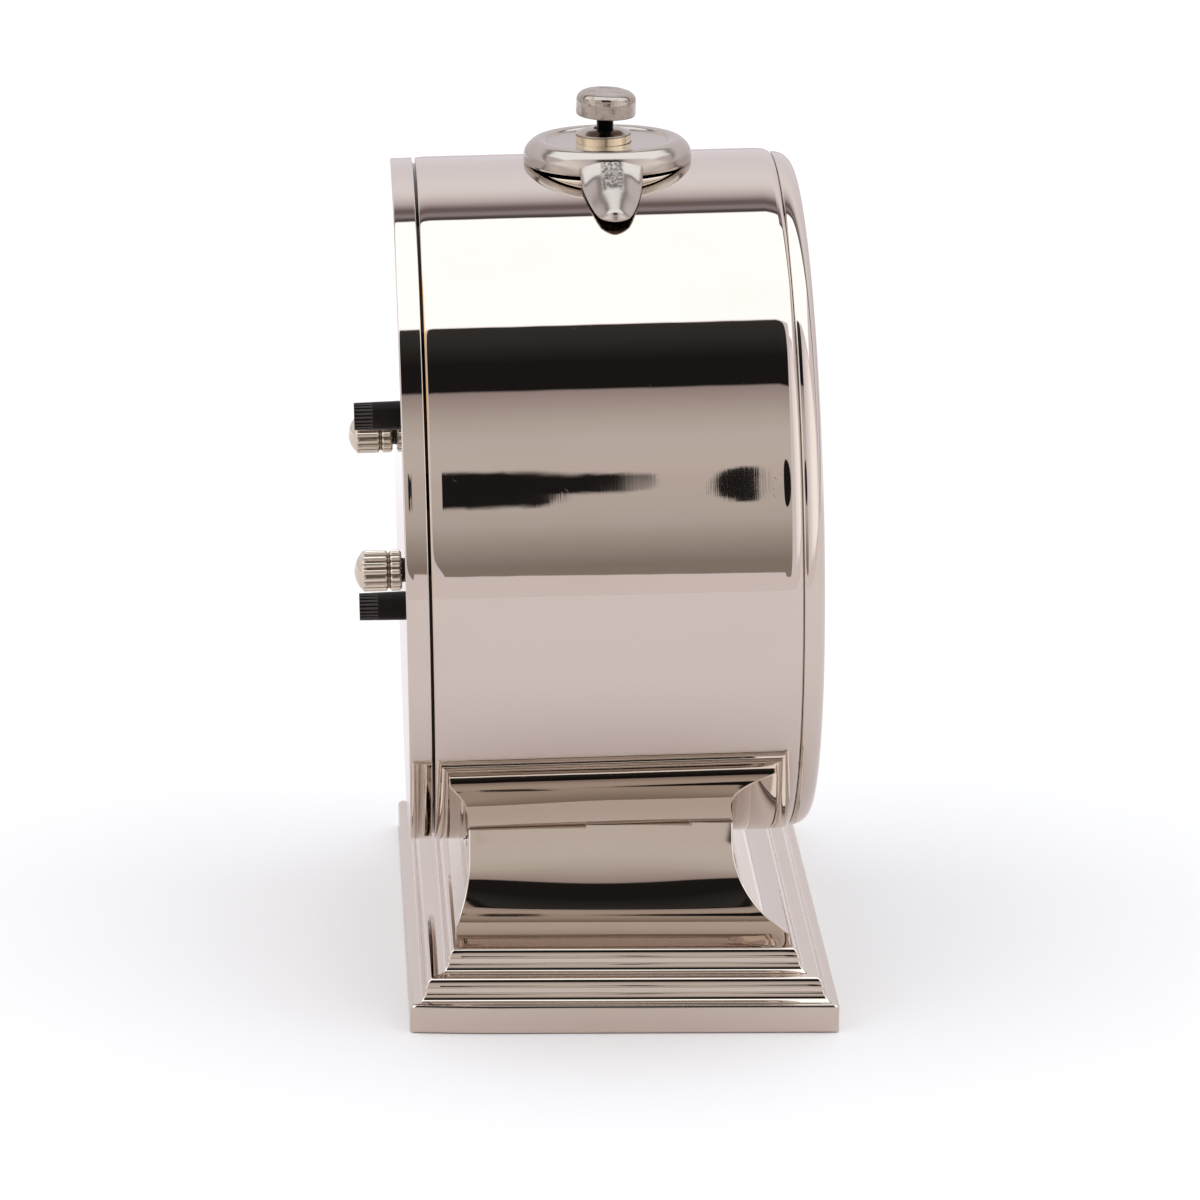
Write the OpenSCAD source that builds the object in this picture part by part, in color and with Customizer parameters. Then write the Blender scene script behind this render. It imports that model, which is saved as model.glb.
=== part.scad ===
// Table clock with a polished nickel drum on a stepped rectangular base. The drum leans back a
// little, two fluted nuts hold its rear cover, and a push button with a thumb lever tops it.
// Millimetres. The origin is the middle of the base's underside, +Z is up and the dial faces -Y.

/* [Drum] */
// Outside diameter of the drum
drum_d = 141.2; // [132:0.2:150]
// Length of the drum from the cover seam to the bezel
drum_len = 73.7; // [66:0.1:90]
// Thickness of the drum's wall
drum_wall = 1.3; // [0.8:0.1:2]
// Radius of the shoulder rolled round the drum's front edge
shoulder_r = 2.5; // [2:0.1:3.5]
// Height of the drum's axis above the table
axis_h = 94.65; // [92:0.05:106]
// How far the drum's middle lies behind the middle of the base
head_back = 3.3; // [0:0.1:5]
// Angle by which the head leans back
head_lean = 1.75; // [0:0.25:4]

/* [Rear cover] */
// Depth of the rear cover behind the seam
cover_depth = 4.6; // [3.5:0.1:7]
// Thickness of the cover's sheet
cover_t = 1.2; // [0.8:0.1:2]
// Radius of the cover's rear edge
cover_edge_r = 1.1; // [0.4:0.1:2]
// Open width of the seam between the cover and the drum
seam_gap = 0.35; // [0.2:0.05:0.8]
// Depth of the rim that centres the cover in the drum
cover_rim = 3.4; // [2:0.1:6]

/* [Bezel and crystal] */
// Outside diameter of the bezel
bezel_d = 139.6; // [137:0.2:140.4]
// Depth of the bezel in front of the drum
bezel_depth = 5.7; // [5:0.1:8]
// Radius of the bezel's front corner
bezel_corner = 4.2; // [2:0.1:4.8]
// Diameter of the opening in the bezel
bezel_open_d = 123; // [116:0.5:127]
// Thickness of the bezel's lip in front of the crystal
lip_t = 2.4; // [1.5:0.1:3]
// Thickness of the bezel's skirt inside the drum
skirt_t = 1.3; // [0.9:0.1:2]
// Thickness of the crystal
crystal_t = 2; // [1.5:0.1:3]
// Thickness of the gasket under the bezel's lip
gasket_t = 0.4; // [0.2:0.1:1]

/* [Dial and hands] */
// Space between the dial and the crystal
hand_space = 4.4; // [4.2:0.1:8]
// Thickness of the dial
dial_t = 0.5; // [0.3:0.1:1]
// Thickness of the plate behind the dial
plate_t = 1.2; // [0.8:0.1:2]
// Length of the hour hand from the centre
hour_len = 36; // [26:0.5:42]
// Length of the minute hand from the centre
minute_len = 54; // [44:0.5:56]
// Length of the second hand from the centre
second_len = 55; // [44:0.5:57]
// Length of the alarm hand from the centre
alarm_len = 27; // [18:0.5:34]
// Thickness of each hand
hand_t = 0.3; // [0.2:0.05:0.35]
// Gap between one hand and the next
hand_gap = 0.34; // [0.3:0.02:0.4]

/* [Movement] */
// Width and height of the movement's case
case_w = 56; // [54:1:62]
// Depth of the movement's case
case_d = 22; // [20:0.5:28]
// Wall of the movement's case
case_wall = 2; // [1.5:0.1:3]
// Diameter of the battery
cell_d = 14.2; // [13.5:0.1:14.5]
// Length of the battery
cell_len = 50.4; // [49:0.1:50.8]
// Outside diameter of the threaded centre bush
bush_d = 7.9; // [7:0.1:9]
// Diameter of the buzzer on the movement's back
buzzer_d = 25; // [20:0.5:27]
// Thickness of the buzzer
buzzer_t = 6; // [4:0.5:9]

/* [Setting knobs] */
// Distance of both setting knobs from the centre, towards nine o'clock
knob_x = 12; // [10:0.5:18]
// Height of the time knob above the centre
time_knob_y = 21; // [18:0.5:23]
// Depth of the alarm knob below the centre
alarm_knob_y = 19.5; // [18:0.5:23]
// Diameter of a setting knob at its foot
knob_d = 6; // [5:0.1:7]
// Diameter of a setting knob at its tip
knob_tip_d = 5.6; // [4.8:0.1:7]
// Length of a setting knob outside the rear cover
knob_out = 8.9; // [7:0.1:14]
// Length of a setting knob's fluted end
knob_grip = 3.8; // [2:0.1:6]
// Number of flutes round a setting knob
knob_flutes = 22; // [16:1:26]
// Diameter of the setting shafts
set_shaft_d = 2; // [1.6:0.1:2.4]

/* [Thumb nuts] */
// Distance of each thumb nut from the centre
nut_x = 53; // [46:0.5:58]
// Diameter of a thumb nut
nut_d = 8.2; // [7:0.1:10]
// Length of a thumb nut
nut_len = 9.5; // [8:0.1:14]
// Gap between a thumb nut and the rear cover
nut_gap = 0.4; // [0.2:0.1:1.5]
// Height of a thumb nut's domed end
nut_dome = 1.7; // [1:0.1:2.4]
// Distance of the ring groove from the nut's domed tip
nut_groove = 6.8; // [5.5:0.1:7.2]
// Number of flutes round a thumb nut
nut_flutes = 16; // [12:1:18]
// Diameter of the studs
stud_d = 3; // [2.4:0.1:4]

/* [Top button] */
// How far the button stands in front of the drum's middle
button_fwd = 2.8; // [0:0.1:6]
// Diameter of the button's head
button_d = 12.3; // [10:0.1:14]
// Height of the button's head
button_h = 5.3; // [4:0.1:8]
// Diameter of the button's neck
neck_d = 3.6; // [3:0.1:4.4]
// How far the button travels
travel = 2.5; // [1.5:0.1:2.8]
// Gap between the head and the collar at rest
head_gap = 3.3; // [3.1:0.1:5]
// Diameter of the collar round the neck
collar_d = 11.5; // [10.6:0.1:13]
// Height of the collar above the lever ring's dish
collar_h = 2.6; // [1.5:0.1:4]
// Outside diameter of the threaded barrel below the collar
barrel_d = 9; // [8.4:0.1:9.6]
// Wire diameter of the button's spring
spring_wire = 0.45; // [0.35:0.05:0.6]
// Number of turns of the button's spring
spring_turns = 5; // [4:1:6]

/* [Thumb lever] */
// Outside diameter of the lever ring
ring_d = 34.6; // [30:0.2:38]
// Height of the lever ring
ring_h = 4.1; // [3.6:0.1:5]
// Radius of the lever ring's rim
rim_r = 3.3; // [2:0.1:3.5]
// Distance of the tongue's tip from the button's axis
tongue_reach = 31.4; // [28:0.2:34]
// Width of the tongue where it leaves the ring
tongue_w = 13.4; // [10:0.2:16]
// Width of the flat facet along the tongue
facet_w = 5; // [3:0.2:7]
// Clearance between the tongue and the drum
tongue_gap = 1.3; // [1:0.1:2]

/* [Base] */
// Length of the base from side to side
base_l = 132.4; // [126:0.2:148]
// Depth of the base from front to back
base_w = 86.4; // [80:0.2:100]
// Height of the plinth
plinth_h = 5.9; // [4:0.1:9]
// Bevel along the plinth's top edge
plinth_bevel = 0.35; // [0.2:0.05:0.8]
// Ledge in front of each cove
ledge = 0.55; // [0.4:0.05:1.2]
// Radius of each cove
cove_r = 2.4; // [1.5:0.1:3]
// Radius of the round above each cove
ovolo_r = 2.7; // [2.4:0.1:3.2]
// Height of the round above each cove
ovolo_h = 2.25; // [1.6:0.05:2.3]
// Radius of the pedestal's hollow sides near the tiers
scotia_side_r = 14.6; // [12:0.2:16]
// Radius of the hollow sides above that, where they run up to the drum
scotia_rise_r = 39; // [34:0.5:45]
// Angle at which one radius of the hollow sides passes into the other
scotia_turn = 48; // [40:1:56]
// Radius of the pedestal's hollow front
scotia_front_r = 16.2; // [14:0.2:17]
// Radius of the pedestal's hollow back
scotia_rear_r = 25.5; // [20:0.5:28]
// Height at which the hollow back is deepest, above the tiers
scotia_rear_h = 13.4; // [11:0.2:16]
// Distance of the pedestal's front face from the middle
neck_front = 23.1; // [20:0.1:26]
// Distance of the pedestal's rear face from the middle
neck_rear = 31; // [26:0.1:32]
// Wall of the base casting
cast_wall = 4; // [3:0.1:5]
// Thickness of the felt pad
pad_t = 1.2; // [1:0.1:2]
// How far the felt pad stands proud of the casting
pad_proud = 0.3; // [0.1:0.1:0.6]
// Margin between the pad and the plinth's edge
pad_margin = 1.6; // [1:0.1:4]
// Diameter of the screws that hold the drum to the base
screw_d = 4; // [3:0.5:5]
// Spacing of those screws
screw_pitch = 30; // [22:1:34]
// Thickness of metal between the drum and the heads of those screws
screw_grip = 5.5; // [4:0.1:7]

/* [Hidden] */
$fn = 96;

nickel = "gainsboro";
brass = "goldenrod";
steel = "silver";
black = "dimgray";

// Clearance of a shaft that turns or slides in its hole
run_fit = 0.06;
// Clearance between pieces that drop into each other
drop_fit = 0.1;
// Clearance round a shaft that passes through a plate
pass_gap = 0.4;
// How far a cutting shape runs past the face that it cuts
over = 1;

drum_r = drum_d / 2;
drum_in = drum_r - drum_wall;
drum_front = drum_len / 2;
drum_rear = -drum_len / 2;
drum_lip = drum_r - shoulder_r;

// Levels along the clock's axis, measured from the drum's middle towards the reader
bezel_back = drum_front + drop_fit;
bezel_front = drum_front + bezel_depth;
lip_back = bezel_front - lip_t;
crystal_front = lip_back - gasket_t;
crystal_back = crystal_front - crystal_t;
dial_face = crystal_back - hand_space;
dial_back = dial_face - dial_t;
plate_back = dial_back - plate_t;
roll_t = 0.8;
skirt_end = plate_back - roll_t;
washer_t = 0.8;
case_front = plate_back - washer_t;
case_back = case_front - case_d;
cover_back = drum_rear - cover_depth;

// Radii of what the bezel's skirt holds
skirt_r = drum_lip - 2 * drop_fit;
skirt_in = skirt_r - skirt_t;
stack_r = skirt_in - drop_fit;

// Hand stack
bush_r = bush_d / 2;
nut_t = 1.2;
alarm_z = dial_face + nut_t + 0.1;
hand_step = hand_t + hand_gap;
hour_z = alarm_z + hand_step;
minute_z = hour_z + hand_step;
second_z = minute_z + hand_step;
arbor_r = 0.45;
pipe_wall = 0.6;
minute_r = arbor_r + run_fit + pipe_wall;
hour_r = minute_r + run_fit + pipe_wall;
alarm_r = hour_r + run_fit + pipe_wall;
bush_bore = alarm_r + run_fit;
pipe_stagger = 2.4;
pipe_foot = case_front - 4;

// Movement
case_h2 = case_w / 2;
cover_plate_t = 1.6;
cell_r = cell_d / 2;
contact_t = 0.4;
bay_gap = 0.5;
bay_w = cell_d + 2 * bay_gap;
bay_right = case_h2 - case_wall;
bay_x = bay_right - bay_w / 2;
bay_left = bay_right - bay_w;
bay_floor = case_back + cell_d + bay_gap;
cell_z = bay_floor - cell_r - drop_fit;
shaft_r = set_shaft_d / 2;

// Setting knobs
knob_tip = cover_back - knob_out;
knob_foot = cover_back + cover_t + 1.2;
knob_hole = knob_d / 2 + pass_gap;

// Thumb nuts
nut_foot = cover_back - nut_gap;
nut_tip = nut_foot - nut_len;
stud_r = stud_d / 2;
stud_end = nut_tip + nut_dome + 0.8;

// Top fitting, measured up from the drum's axis
saddle_skin = 0.3;
saddle_top = drum_r + saddle_skin;
ring_foot = saddle_top + drop_fit;
ring_top = ring_foot + ring_h;
dish = 0.8;
collar_foot = ring_top - dish + drop_fit;
collar_top = collar_foot + collar_h;
head_foot = collar_top + head_gap;
head_top = head_foot + button_h;
barrel_r = barrel_d / 2;
barrel_foot = drum_in - 7.3;
spring_seat = barrel_foot + 3;
neck_r = neck_d / 2;
stem_r = 1.2;
cavity_r = 3.1;
spring_top = collar_foot - 2.2;
spring_cup_t = 0.7;
stem_foot = barrel_foot - 4;
switch_top = stem_foot - travel - 0.3;
switch_h = 6;
bracket_t = 0.9;
bracket_arm = 9;
barrel_nut_h = 2.4;
bracket_w = 12;
bracket_top = sqrt(drum_in * drum_in - bracket_w * bracket_w / 4);

// Base mouldings, as distances inwards from the plinth's edge and heights above the table
half_l = base_l / 2;
half_w = base_w / 2;
ovolo_in = ovolo_r - sqrt(ovolo_r * ovolo_r - ovolo_h * ovolo_h);
tier_rise = cove_r + ovolo_h;
tier_in = ledge + cove_r + ovolo_in + 0.5;
tiers_top = plinth_h + 2 * tier_rise;
pedestal_in = 2 * tier_in;
drum_bed = 16;
pedestal_top = axis_h - drum_r + drum_bed;
screw_r = screw_d / 2;
screw_head_h = 2.6;
screw_seat = drum_r + screw_grip;
hollow_top = axis_h - screw_seat - 0.6;
base_nut_h = 3;
base_nut_seat = sqrt(drum_in * drum_in - screw_d * screw_d);

// Carries the clock's own frame: X to the right, Y up to twelve o'clock, Z towards the reader.
module head() {
    translate([0, head_back, axis_h]) rotate([90 - head_lean, 0, 0]) children();
}

// Carries the push button's frame: Z up along the button, X towards three o'clock.
module top() {
    head() translate([0, 0, button_fwd]) rotate([-90, 0, 0]) children();
}

// A cylinder between two levels, with finer facets where it is large.
module disc(r, low, high) {
    translate([0, 0, low]) cylinder(r = r, h = high - low, $fn = r > 20 ? 360 : 96);
}

// A ring between two radii and two levels.
module ring(r_out, r_in, low, high) {
    difference() {
        disc(r_out, low, high);
        disc(r_in, low - over, high + over);
    }
}

// A rectangle from its lower to its upper corner.
module span(low, high) {
    translate(low) square(high - low);
}

// Grooves for the fingers: round cuts spread about the axis.
module flute_cuts(count, at_r, cut_r, low, high) {
    for (k = [0 : count - 1]) {
        rotate([0, 0, 360 * k / count]) translate([at_r, 0, low]) cylinder(r = cut_r, h = high - low, $fn = 24);
    }
}

// A hexagonal nut across the given flats, with its hole.
module hex_nut(flats, bore_r, h) {
    difference() {
        cylinder(r = flats / sqrt(3), h = h, $fn = 6);
        translate([0, 0, -over]) cylinder(r = bore_r, h = h + 2 * over);
    }
}

// One moulded tier in outline: ledge, cove and the round above it.
module tier(edge, foot) {
    cove_edge = edge - ledge;
    round_edge = cove_edge - cove_r;
    difference() {
        span([0, foot], [cove_edge, foot + cove_r]);
        translate([cove_edge, foot + cove_r]) circle(r = cove_r);
    }
    intersection() {
        span([0, foot + cove_r], [edge, foot + tier_rise]);
        union() {
            translate([round_edge - ovolo_r, foot + cove_r]) circle(r = ovolo_r);
            span([0, foot], [round_edge - ovolo_r, foot + tier_rise]);
        }
    }
}

// The plinth and the two tiers in outline, on one side of the base's middle.
module tiers_outline(half) {
    polygon([[0, pad_proud], [half, pad_proud], [half, plinth_h - plinth_bevel],
        [half - plinth_bevel, plinth_h], [0, plinth_h]]);
    tier(half, plinth_h);
    tier(half - tier_in, plinth_h + tier_rise);
}

// The pedestal in outline between two levels, hollowed by one circle and upright above its middle.
module hollow_outline(half, low, high, hollow_r, hollow_at) {
    difference() {
        span([0, low], [half - pedestal_in, high]);
        translate(hollow_at) circle(r = hollow_r);
        if (high > hollow_at[1]) span([hollow_at[0] - hollow_r, hollow_at[1]], [half, high + over]);
    }
}

// A bar with a different outline on either side, as long as the base needs.
module moulded_bar(length) {
    rotate([90, 0, 0]) translate([0, 0, -length / 2]) linear_extrude(height = length) children();
}

// Side-to-side outline, both sides alike, their hollow drawn with a small and a large radius.
module long_section() {
    outwards = [sin(scotia_turn), cos(scotia_turn)];
    low_at = [half_l - pedestal_in, tiers_top + scotia_side_r];
    turn_at = low_at - scotia_side_r * outwards;
    for (m = [0, 1]) mirror([m, 0]) {
        tiers_outline(half_l);
        hollow_outline(half_l, tiers_top, turn_at[1], scotia_side_r, low_at);
        hollow_outline(half_l, turn_at[1], pedestal_top, scotia_rise_r, turn_at + scotia_rise_r * outwards);
    }
}

// Front-to-back outline: the pedestal's front is drawn in more than its back.
module cross_section() {
    front_at = [neck_front + scotia_front_r, tiers_top + scotia_front_r];
    rear_at = [neck_rear + scotia_rear_r, tiers_top + scotia_rear_h];
    for (m = [0, 1]) mirror([m, 0]) tiers_outline(half_w);
    mirror([1, 0]) hollow_outline(half_w, tiers_top, pedestal_top, scotia_front_r, front_at);
    hollow_outline(half_w, tiers_top, pedestal_top, scotia_rear_r, rear_at);
}

// Both outlines swept across each other meet in mitred corners.
module base_block() {
    intersection() {
        moulded_bar(base_w + 2 * over) long_section();
        rotate([0, 0, 90]) moulded_bar(base_l + 2 * over) cross_section();
    }
}

// The hollow under the casting keeps one wall behind the mouldings.
module base_hollow() {
    shelf = plinth_h - cast_wall / 2;
    wide = pedestal_in + cast_wall;
    tier_h = tiers_top - cast_wall / 2;
    neck_in = 1.5 * cast_wall;
    intersection() {
        moulded_bar(base_w) polygon([[cast_wall - half_l, -over], [half_l - cast_wall, -over],
            [half_l - cast_wall, shelf], [half_l - wide, tier_h], [wide, hollow_top],
            [-wide, hollow_top], [wide - half_l, tier_h], [cast_wall - half_l, shelf]]);
        rotate([0, 0, 90]) moulded_bar(base_l) polygon([[cast_wall - half_w, -over],
            [half_w - cast_wall, -over], [half_w - cast_wall, shelf], [half_w - wide, tier_h],
            [neck_rear - neck_in, hollow_top], [neck_in - neck_front, hollow_top],
            [wide - half_w, tier_h], [cast_wall - half_w, shelf]]);
    }
}

// Places a piece at each of the two screws between the base and the drum, pointing down.
module at_base_screws(from) {
    for (side = [-1, 1]) {
        head() translate([0, -from, side * screw_pitch / 2]) rotate([90, 0, 0]) children();
    }
}

module base_casting() {
    color(nickel) difference() {
        base_block();
        base_hollow();
        translate([0, 0, pad_t / 2 - over]) cube([base_l - 2 * (pad_margin - drop_fit),
            base_w - 2 * (pad_margin - drop_fit), pad_t + 2 * over], center = true);
        head() disc(drum_r + run_fit, drum_rear - over, drum_front + over);
        at_base_screws(drum_r - over) cylinder(r = screw_r + drop_fit, h = screw_grip + 2 * over);
        at_base_screws(screw_seat) cylinder(r = 2 * screw_r, h = 2 * screw_head_h + over);
    }
}

module felt_pad() {
    corner = 1.5;
    color("darkslategray") linear_extrude(height = pad_t) {
        offset(r = corner) square([base_l - 2 * (pad_margin + corner), base_w - 2 * (pad_margin + corner)],
            center = true);
    }
}

module base_screws() {
    color(steel) at_base_screws(screw_seat) difference() {
        union() {
            disc(1.8 * screw_r, 0, screw_head_h);
            disc(screw_r, base_nut_seat - screw_seat - base_nut_h - 1, 0.1);
        }
        translate([-2 * screw_r, -0.4, screw_head_h - 1]) cube([4 * screw_r, 0.8, 2]);
    }
}

module base_nuts() {
    color(brass) at_base_screws(base_nut_seat - base_nut_h) hex_nut(1.75 * screw_d, screw_r, base_nut_h);
}

// Wall, rolled shoulder and the holes for the base screws and the button's barrel.
module drum_shell() {
    shoulder_z = drum_front - shoulder_r;
    color(nickel) head() difference() {
        rotate_extrude() {
            span([drum_in, drum_rear + seam_gap], [drum_r, shoulder_z]);
            intersection() {
                translate([drum_lip, shoulder_z]) difference() {
                    circle(r = shoulder_r);
                    circle(r = shoulder_r - drum_wall);
                }
                span([drum_lip, shoulder_z], [drum_r, drum_front]);
            }
        }
        translate([0, 0, button_fwd]) rotate([-90, 0, 0]) disc(barrel_r + drop_fit, drum_in - 2, drum_r + over);
        for (side = [-1, 1]) {
            translate([0, 0, side * screw_pitch / 2]) rotate([90, 0, 0]) disc(screw_r + drop_fit, drum_in - 2,
                drum_r + over);
        }
    }
}

// Pressed cup: plate, rounded rear edge, band in line with the drum and the rim inside it.
module rear_cover() {
    band_r = drum_r - 0.1;
    rim_r_out = drum_in - drop_fit;
    edge_z = cover_back + cover_edge_r;
    color(nickel) head() difference() {
        rotate_extrude() {
            span([0, cover_back], [band_r - cover_edge_r, cover_back + cover_t]);
            span([band_r - cover_t - 0.6, edge_z], [band_r, drum_rear]);
            span([band_r - cover_t - 0.6, cover_back], [band_r - cover_edge_r, edge_z + 0.1]);
            translate([band_r - cover_edge_r, edge_z]) circle(r = cover_edge_r);
            span([rim_r_out - cover_t, cover_back + 0.2], [rim_r_out, drum_rear + cover_rim]);
        }
        for (side = [-1, 1]) translate([side * nut_x, 0, 0]) disc(stud_r + pass_gap, cover_back - over,
            cover_back + cover_t + over);
        for (y = [time_knob_y, -alarm_knob_y]) translate([-knob_x, y, 0]) disc(knob_hole, cover_back - over,
            cover_back + cover_t + over);
    }
}

module cover_studs() {
    color(steel) head() for (side = [-1, 1]) translate([side * nut_x, 0, 0]) {
        disc(stud_r, stud_end, plate_back);
        disc(stud_r + 1.4, plate_back - 2.4, plate_back);
    }
}

// Rounded ring with a lip over the crystal and a skirt that is rolled in behind the dial plate.
module bezel() {
    bezel_r = bezel_d / 2;
    open_r = bezel_open_d / 2;
    color(nickel) head() rotate_extrude() difference() {
        union() {
            span([open_r, bezel_back], [bezel_r - bezel_corner, bezel_front]);
            span([open_r, bezel_back], [bezel_r, bezel_front - bezel_corner]);
            intersection() {
                translate([bezel_r - bezel_corner, bezel_front - bezel_corner]) circle(r = bezel_corner);
                span([open_r, bezel_back], [bezel_r, bezel_front]);
            }
            span([skirt_in, skirt_end], [skirt_r, bezel_back + 0.1]);
            span([skirt_in - roll_t, skirt_end], [skirt_in + 0.1, skirt_end + roll_t - 0.05]);
        }
        span([0, skirt_end + roll_t - 0.05], [skirt_in, lip_back]);
        translate([open_r, bezel_front]) rotate(45) square(lip_t, center = true);
    }
}

module crystal() {
    color("lightblue", 0.35) head() disc(stack_r, crystal_back, crystal_front);
}

module crystal_gasket() {
    color(black) head() ring(stack_r, bezel_open_d / 2 + 1, crystal_front, lip_back);
}

// Sloping ring that keeps the dial back from the crystal.
module dial_ring() {
    foot_r = bezel_open_d / 2 + 0.2;
    color("ivory") head() rotate_extrude() polygon([[foot_r, dial_face], [stack_r, dial_face],
        [stack_r, crystal_back], [foot_r + 1.6, crystal_back]]);
}

module dial() {
    color("ivory") head() ring(stack_r, bush_r + drop_fit, dial_back, dial_face);
}

module dial_plate() {
    color(steel) head() ring(stack_r, bush_r + drop_fit, plate_back, dial_back);
}

// Moulded case: a chamber for the works on one side and an open bay for the cell on the other.
module movement_case() {
    inner = case_h2 - case_wall;
    lid_seat = case_back + cover_plate_t;
    chamber_right = bay_left - case_wall;
    corner = 3;
    color(black) head() difference() {
        translate([0, 0, case_back]) linear_extrude(height = case_d) offset(r = corner) {
            square(case_w - 2 * corner, center = true);
        }
        translate([-inner, -inner, lid_seat - over]) {
            cube([inner + chamber_right, 2 * inner, case_front - case_wall - lid_seat + over]);
        }
        translate([-inner - 0.8, -inner - 0.8, case_back - over]) {
            cube([inner + chamber_right + 1.6, 2 * inner + 1.6, cover_plate_t + over]);
        }
        translate([bay_left, -inner, case_back - over]) cube([bay_w, 2 * inner, bay_floor - case_back + over]);
        disc(bush_r + drop_fit, case_front - case_wall - over, case_front + over);
    }
}

module movement_cover() {
    inner = case_h2 - case_wall + 0.8 - drop_fit;
    width = inner + bay_left - case_wall + 0.8 - drop_fit;
    color("darkgray") head() difference() {
        translate([-inner, -inner, case_back]) cube([width, 2 * inner, cover_plate_t]);
        for (y = [time_knob_y, -alarm_knob_y]) translate([-knob_x, y, 0]) disc(shaft_r + run_fit,
            case_back - over, case_back + cover_plate_t + over);
    }
}

// Flanged tube that carries the hands' pipes and is clamped through the dial.
module center_bush() {
    color(brass) head() difference() {
        union() {
            disc(bush_r, case_front - case_wall - 1.4, dial_face + nut_t);
            disc(bush_r + 1.8, case_front - case_wall - 1.4, case_front - case_wall);
        }
        disc(bush_bore, case_front - case_wall - 3, dial_face + nut_t + over);
    }
}

module bush_nut() {
    color(brass) head() translate([0, 0, dial_face]) hex_nut(bush_d + 3, bush_r, nut_t);
}

module bush_washer() {
    color("darkslategray") head() ring(bush_r + 4, bush_r + drop_fit, case_front, plate_back);
}

module battery() {
    nub = 1.3;
    color("steelblue") head() translate([bay_x, cell_len / 2, cell_z]) rotate([90, 0, 0]) {
        disc(cell_r - 1.6, 0, nub + 0.1);
        disc(cell_r, nub, cell_len);
    }
}

module battery_contacts() {
    inner = case_h2 - case_wall;
    color(steel) head() for (side = [-1, 1]) {
        translate([bay_x - 4, side * (inner - contact_t / 2) - contact_t / 2, cell_z - 5]) cube([8, contact_t, 10]);
    }
}

// Sounder for the alarm, with its ring of holes.
module buzzer() {
    color(black) head() translate([-bush_r - 6.5, 0.75, 0]) difference() {
        disc(buzzer_d / 2, case_back - buzzer_t, case_back);
        flute_cuts(6, buzzer_d / 4, 1.2, case_back - buzzer_t - over, case_back - buzzer_t / 2);
    }
}

// Leaf-shaped blade, widest at a third of its length, with its boss.
module leaf_hand(length, width, tail, boss_r, hole_r) {
    wide_at = length / 3;
    difference() {
        union() {
            polygon([[-width / 4, 0], [-width / 2, wide_at], [-0.35, length], [0.35, length],
                [width / 2, wide_at], [width / 4, 0]]);
            polygon([[-width / 4, 0], [-width / 3, -tail], [width / 3, -tail], [width / 4, 0]]);
            circle(r = boss_r);
        }
        circle(r = hole_r);
    }
}

module hand_plate(angle, level) {
    head() rotate([0, 0, -angle]) translate([0, 0, level]) linear_extrude(height = hand_t) children();
}

module pipe(r_out, r_in, foot, head_z) {
    color(brass) head() ring(r_out, r_in, foot, head_z);
}

module hour_hand() {
    color("black") hand_plate(304, hour_z) leaf_hand(hour_len, 0.18 * hour_len, hour_len / 4, bush_r, hour_r);
}

module hour_pipe() { pipe(hour_r, minute_r + run_fit, pipe_foot - pipe_stagger, hour_z + hand_t); }

module minute_hand() {
    color("black") hand_plate(51, minute_z) leaf_hand(minute_len, 0.09 * minute_len, minute_len / 5,
        0.85 * bush_r, minute_r);
}

module minute_pipe() { pipe(minute_r, arbor_r + run_fit, pipe_foot - 2 * pipe_stagger, minute_z + hand_t); }

module second_hand() {
    color("black") hand_plate(180, second_z) leaf_hand(second_len, 0.03 * second_len, 0.27 * second_len,
        bush_r / 2, arbor_r);
}

module second_arbor() {
    color(steel) head() disc(arbor_r, pipe_foot - 3 * pipe_stagger, second_z + hand_t);
}

module alarm_hand() {
    color("crimson") hand_plate(180, alarm_z) leaf_hand(alarm_len, 0.1 * alarm_len, alarm_len / 4.5,
        1.1 * bush_r, alarm_r);
}

module alarm_pipe() { pipe(alarm_r, hour_r + run_fit, pipe_foot, alarm_z + hand_t); }

// Slightly tapered sleeve, fluted at its outer end and pressed on its shaft.
module set_knob(y) {
    color(black) head() translate([-knob_x, y, 0]) difference() {
        translate([0, 0, knob_tip]) cylinder(r1 = knob_tip_d / 2, r2 = knob_d / 2, h = knob_foot - knob_tip);
        flute_cuts(knob_flutes, knob_tip_d / 2 + 0.16, 0.3, knob_tip - over, knob_tip + knob_grip);
        disc(shaft_r, knob_tip + 2.5, knob_foot + over);
    }
}

module set_shaft(y) {
    color(steel) head() translate([-knob_x, y, 0]) disc(shaft_r, knob_tip + 2.5, case_back + cover_plate_t + 5);
}

module time_knob() { set_knob(time_knob_y); }

module time_shaft() { set_shaft(time_knob_y); }

module alarm_knob() { set_knob(-alarm_knob_y); }

module alarm_shaft() { set_shaft(-alarm_knob_y); }

// Domed nut with flutes, a ring groove and a chamfered foot, on the end of its stud.
module thumb_nut(side) {
    r = nut_d / 2;
    dome_r = (r * r + nut_dome * nut_dome) / (2 * nut_dome);
    groove_r = 0.45;
    flute_r = 0.55;
    chamfer = 0.5;
    color(nickel) head() translate([side * nut_x, 0, 0]) difference() {
        intersection() {
            translate([0, 0, nut_tip]) union() {
                cylinder(r = r, h = nut_len - chamfer);
                translate([0, 0, nut_len - chamfer]) cylinder(r1 = r, r2 = r - chamfer, h = chamfer);
            }
            translate([0, 0, nut_tip + dome_r]) sphere(r = dome_r);
        }
        flute_cuts(nut_flutes, r + flute_r * 0.45, flute_r, nut_tip + nut_dome + 0.2, nut_foot + over);
        rotate_extrude() translate([r + 0.05, nut_tip + nut_groove]) circle(r = groove_r, $fn = 32);
        disc(stud_r + run_fit, stud_end - 0.3, nut_foot + over);
    }
}

module thumb_nut_left() { thumb_nut(-1); }

module thumb_nut_right() { thumb_nut(1); }

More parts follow.
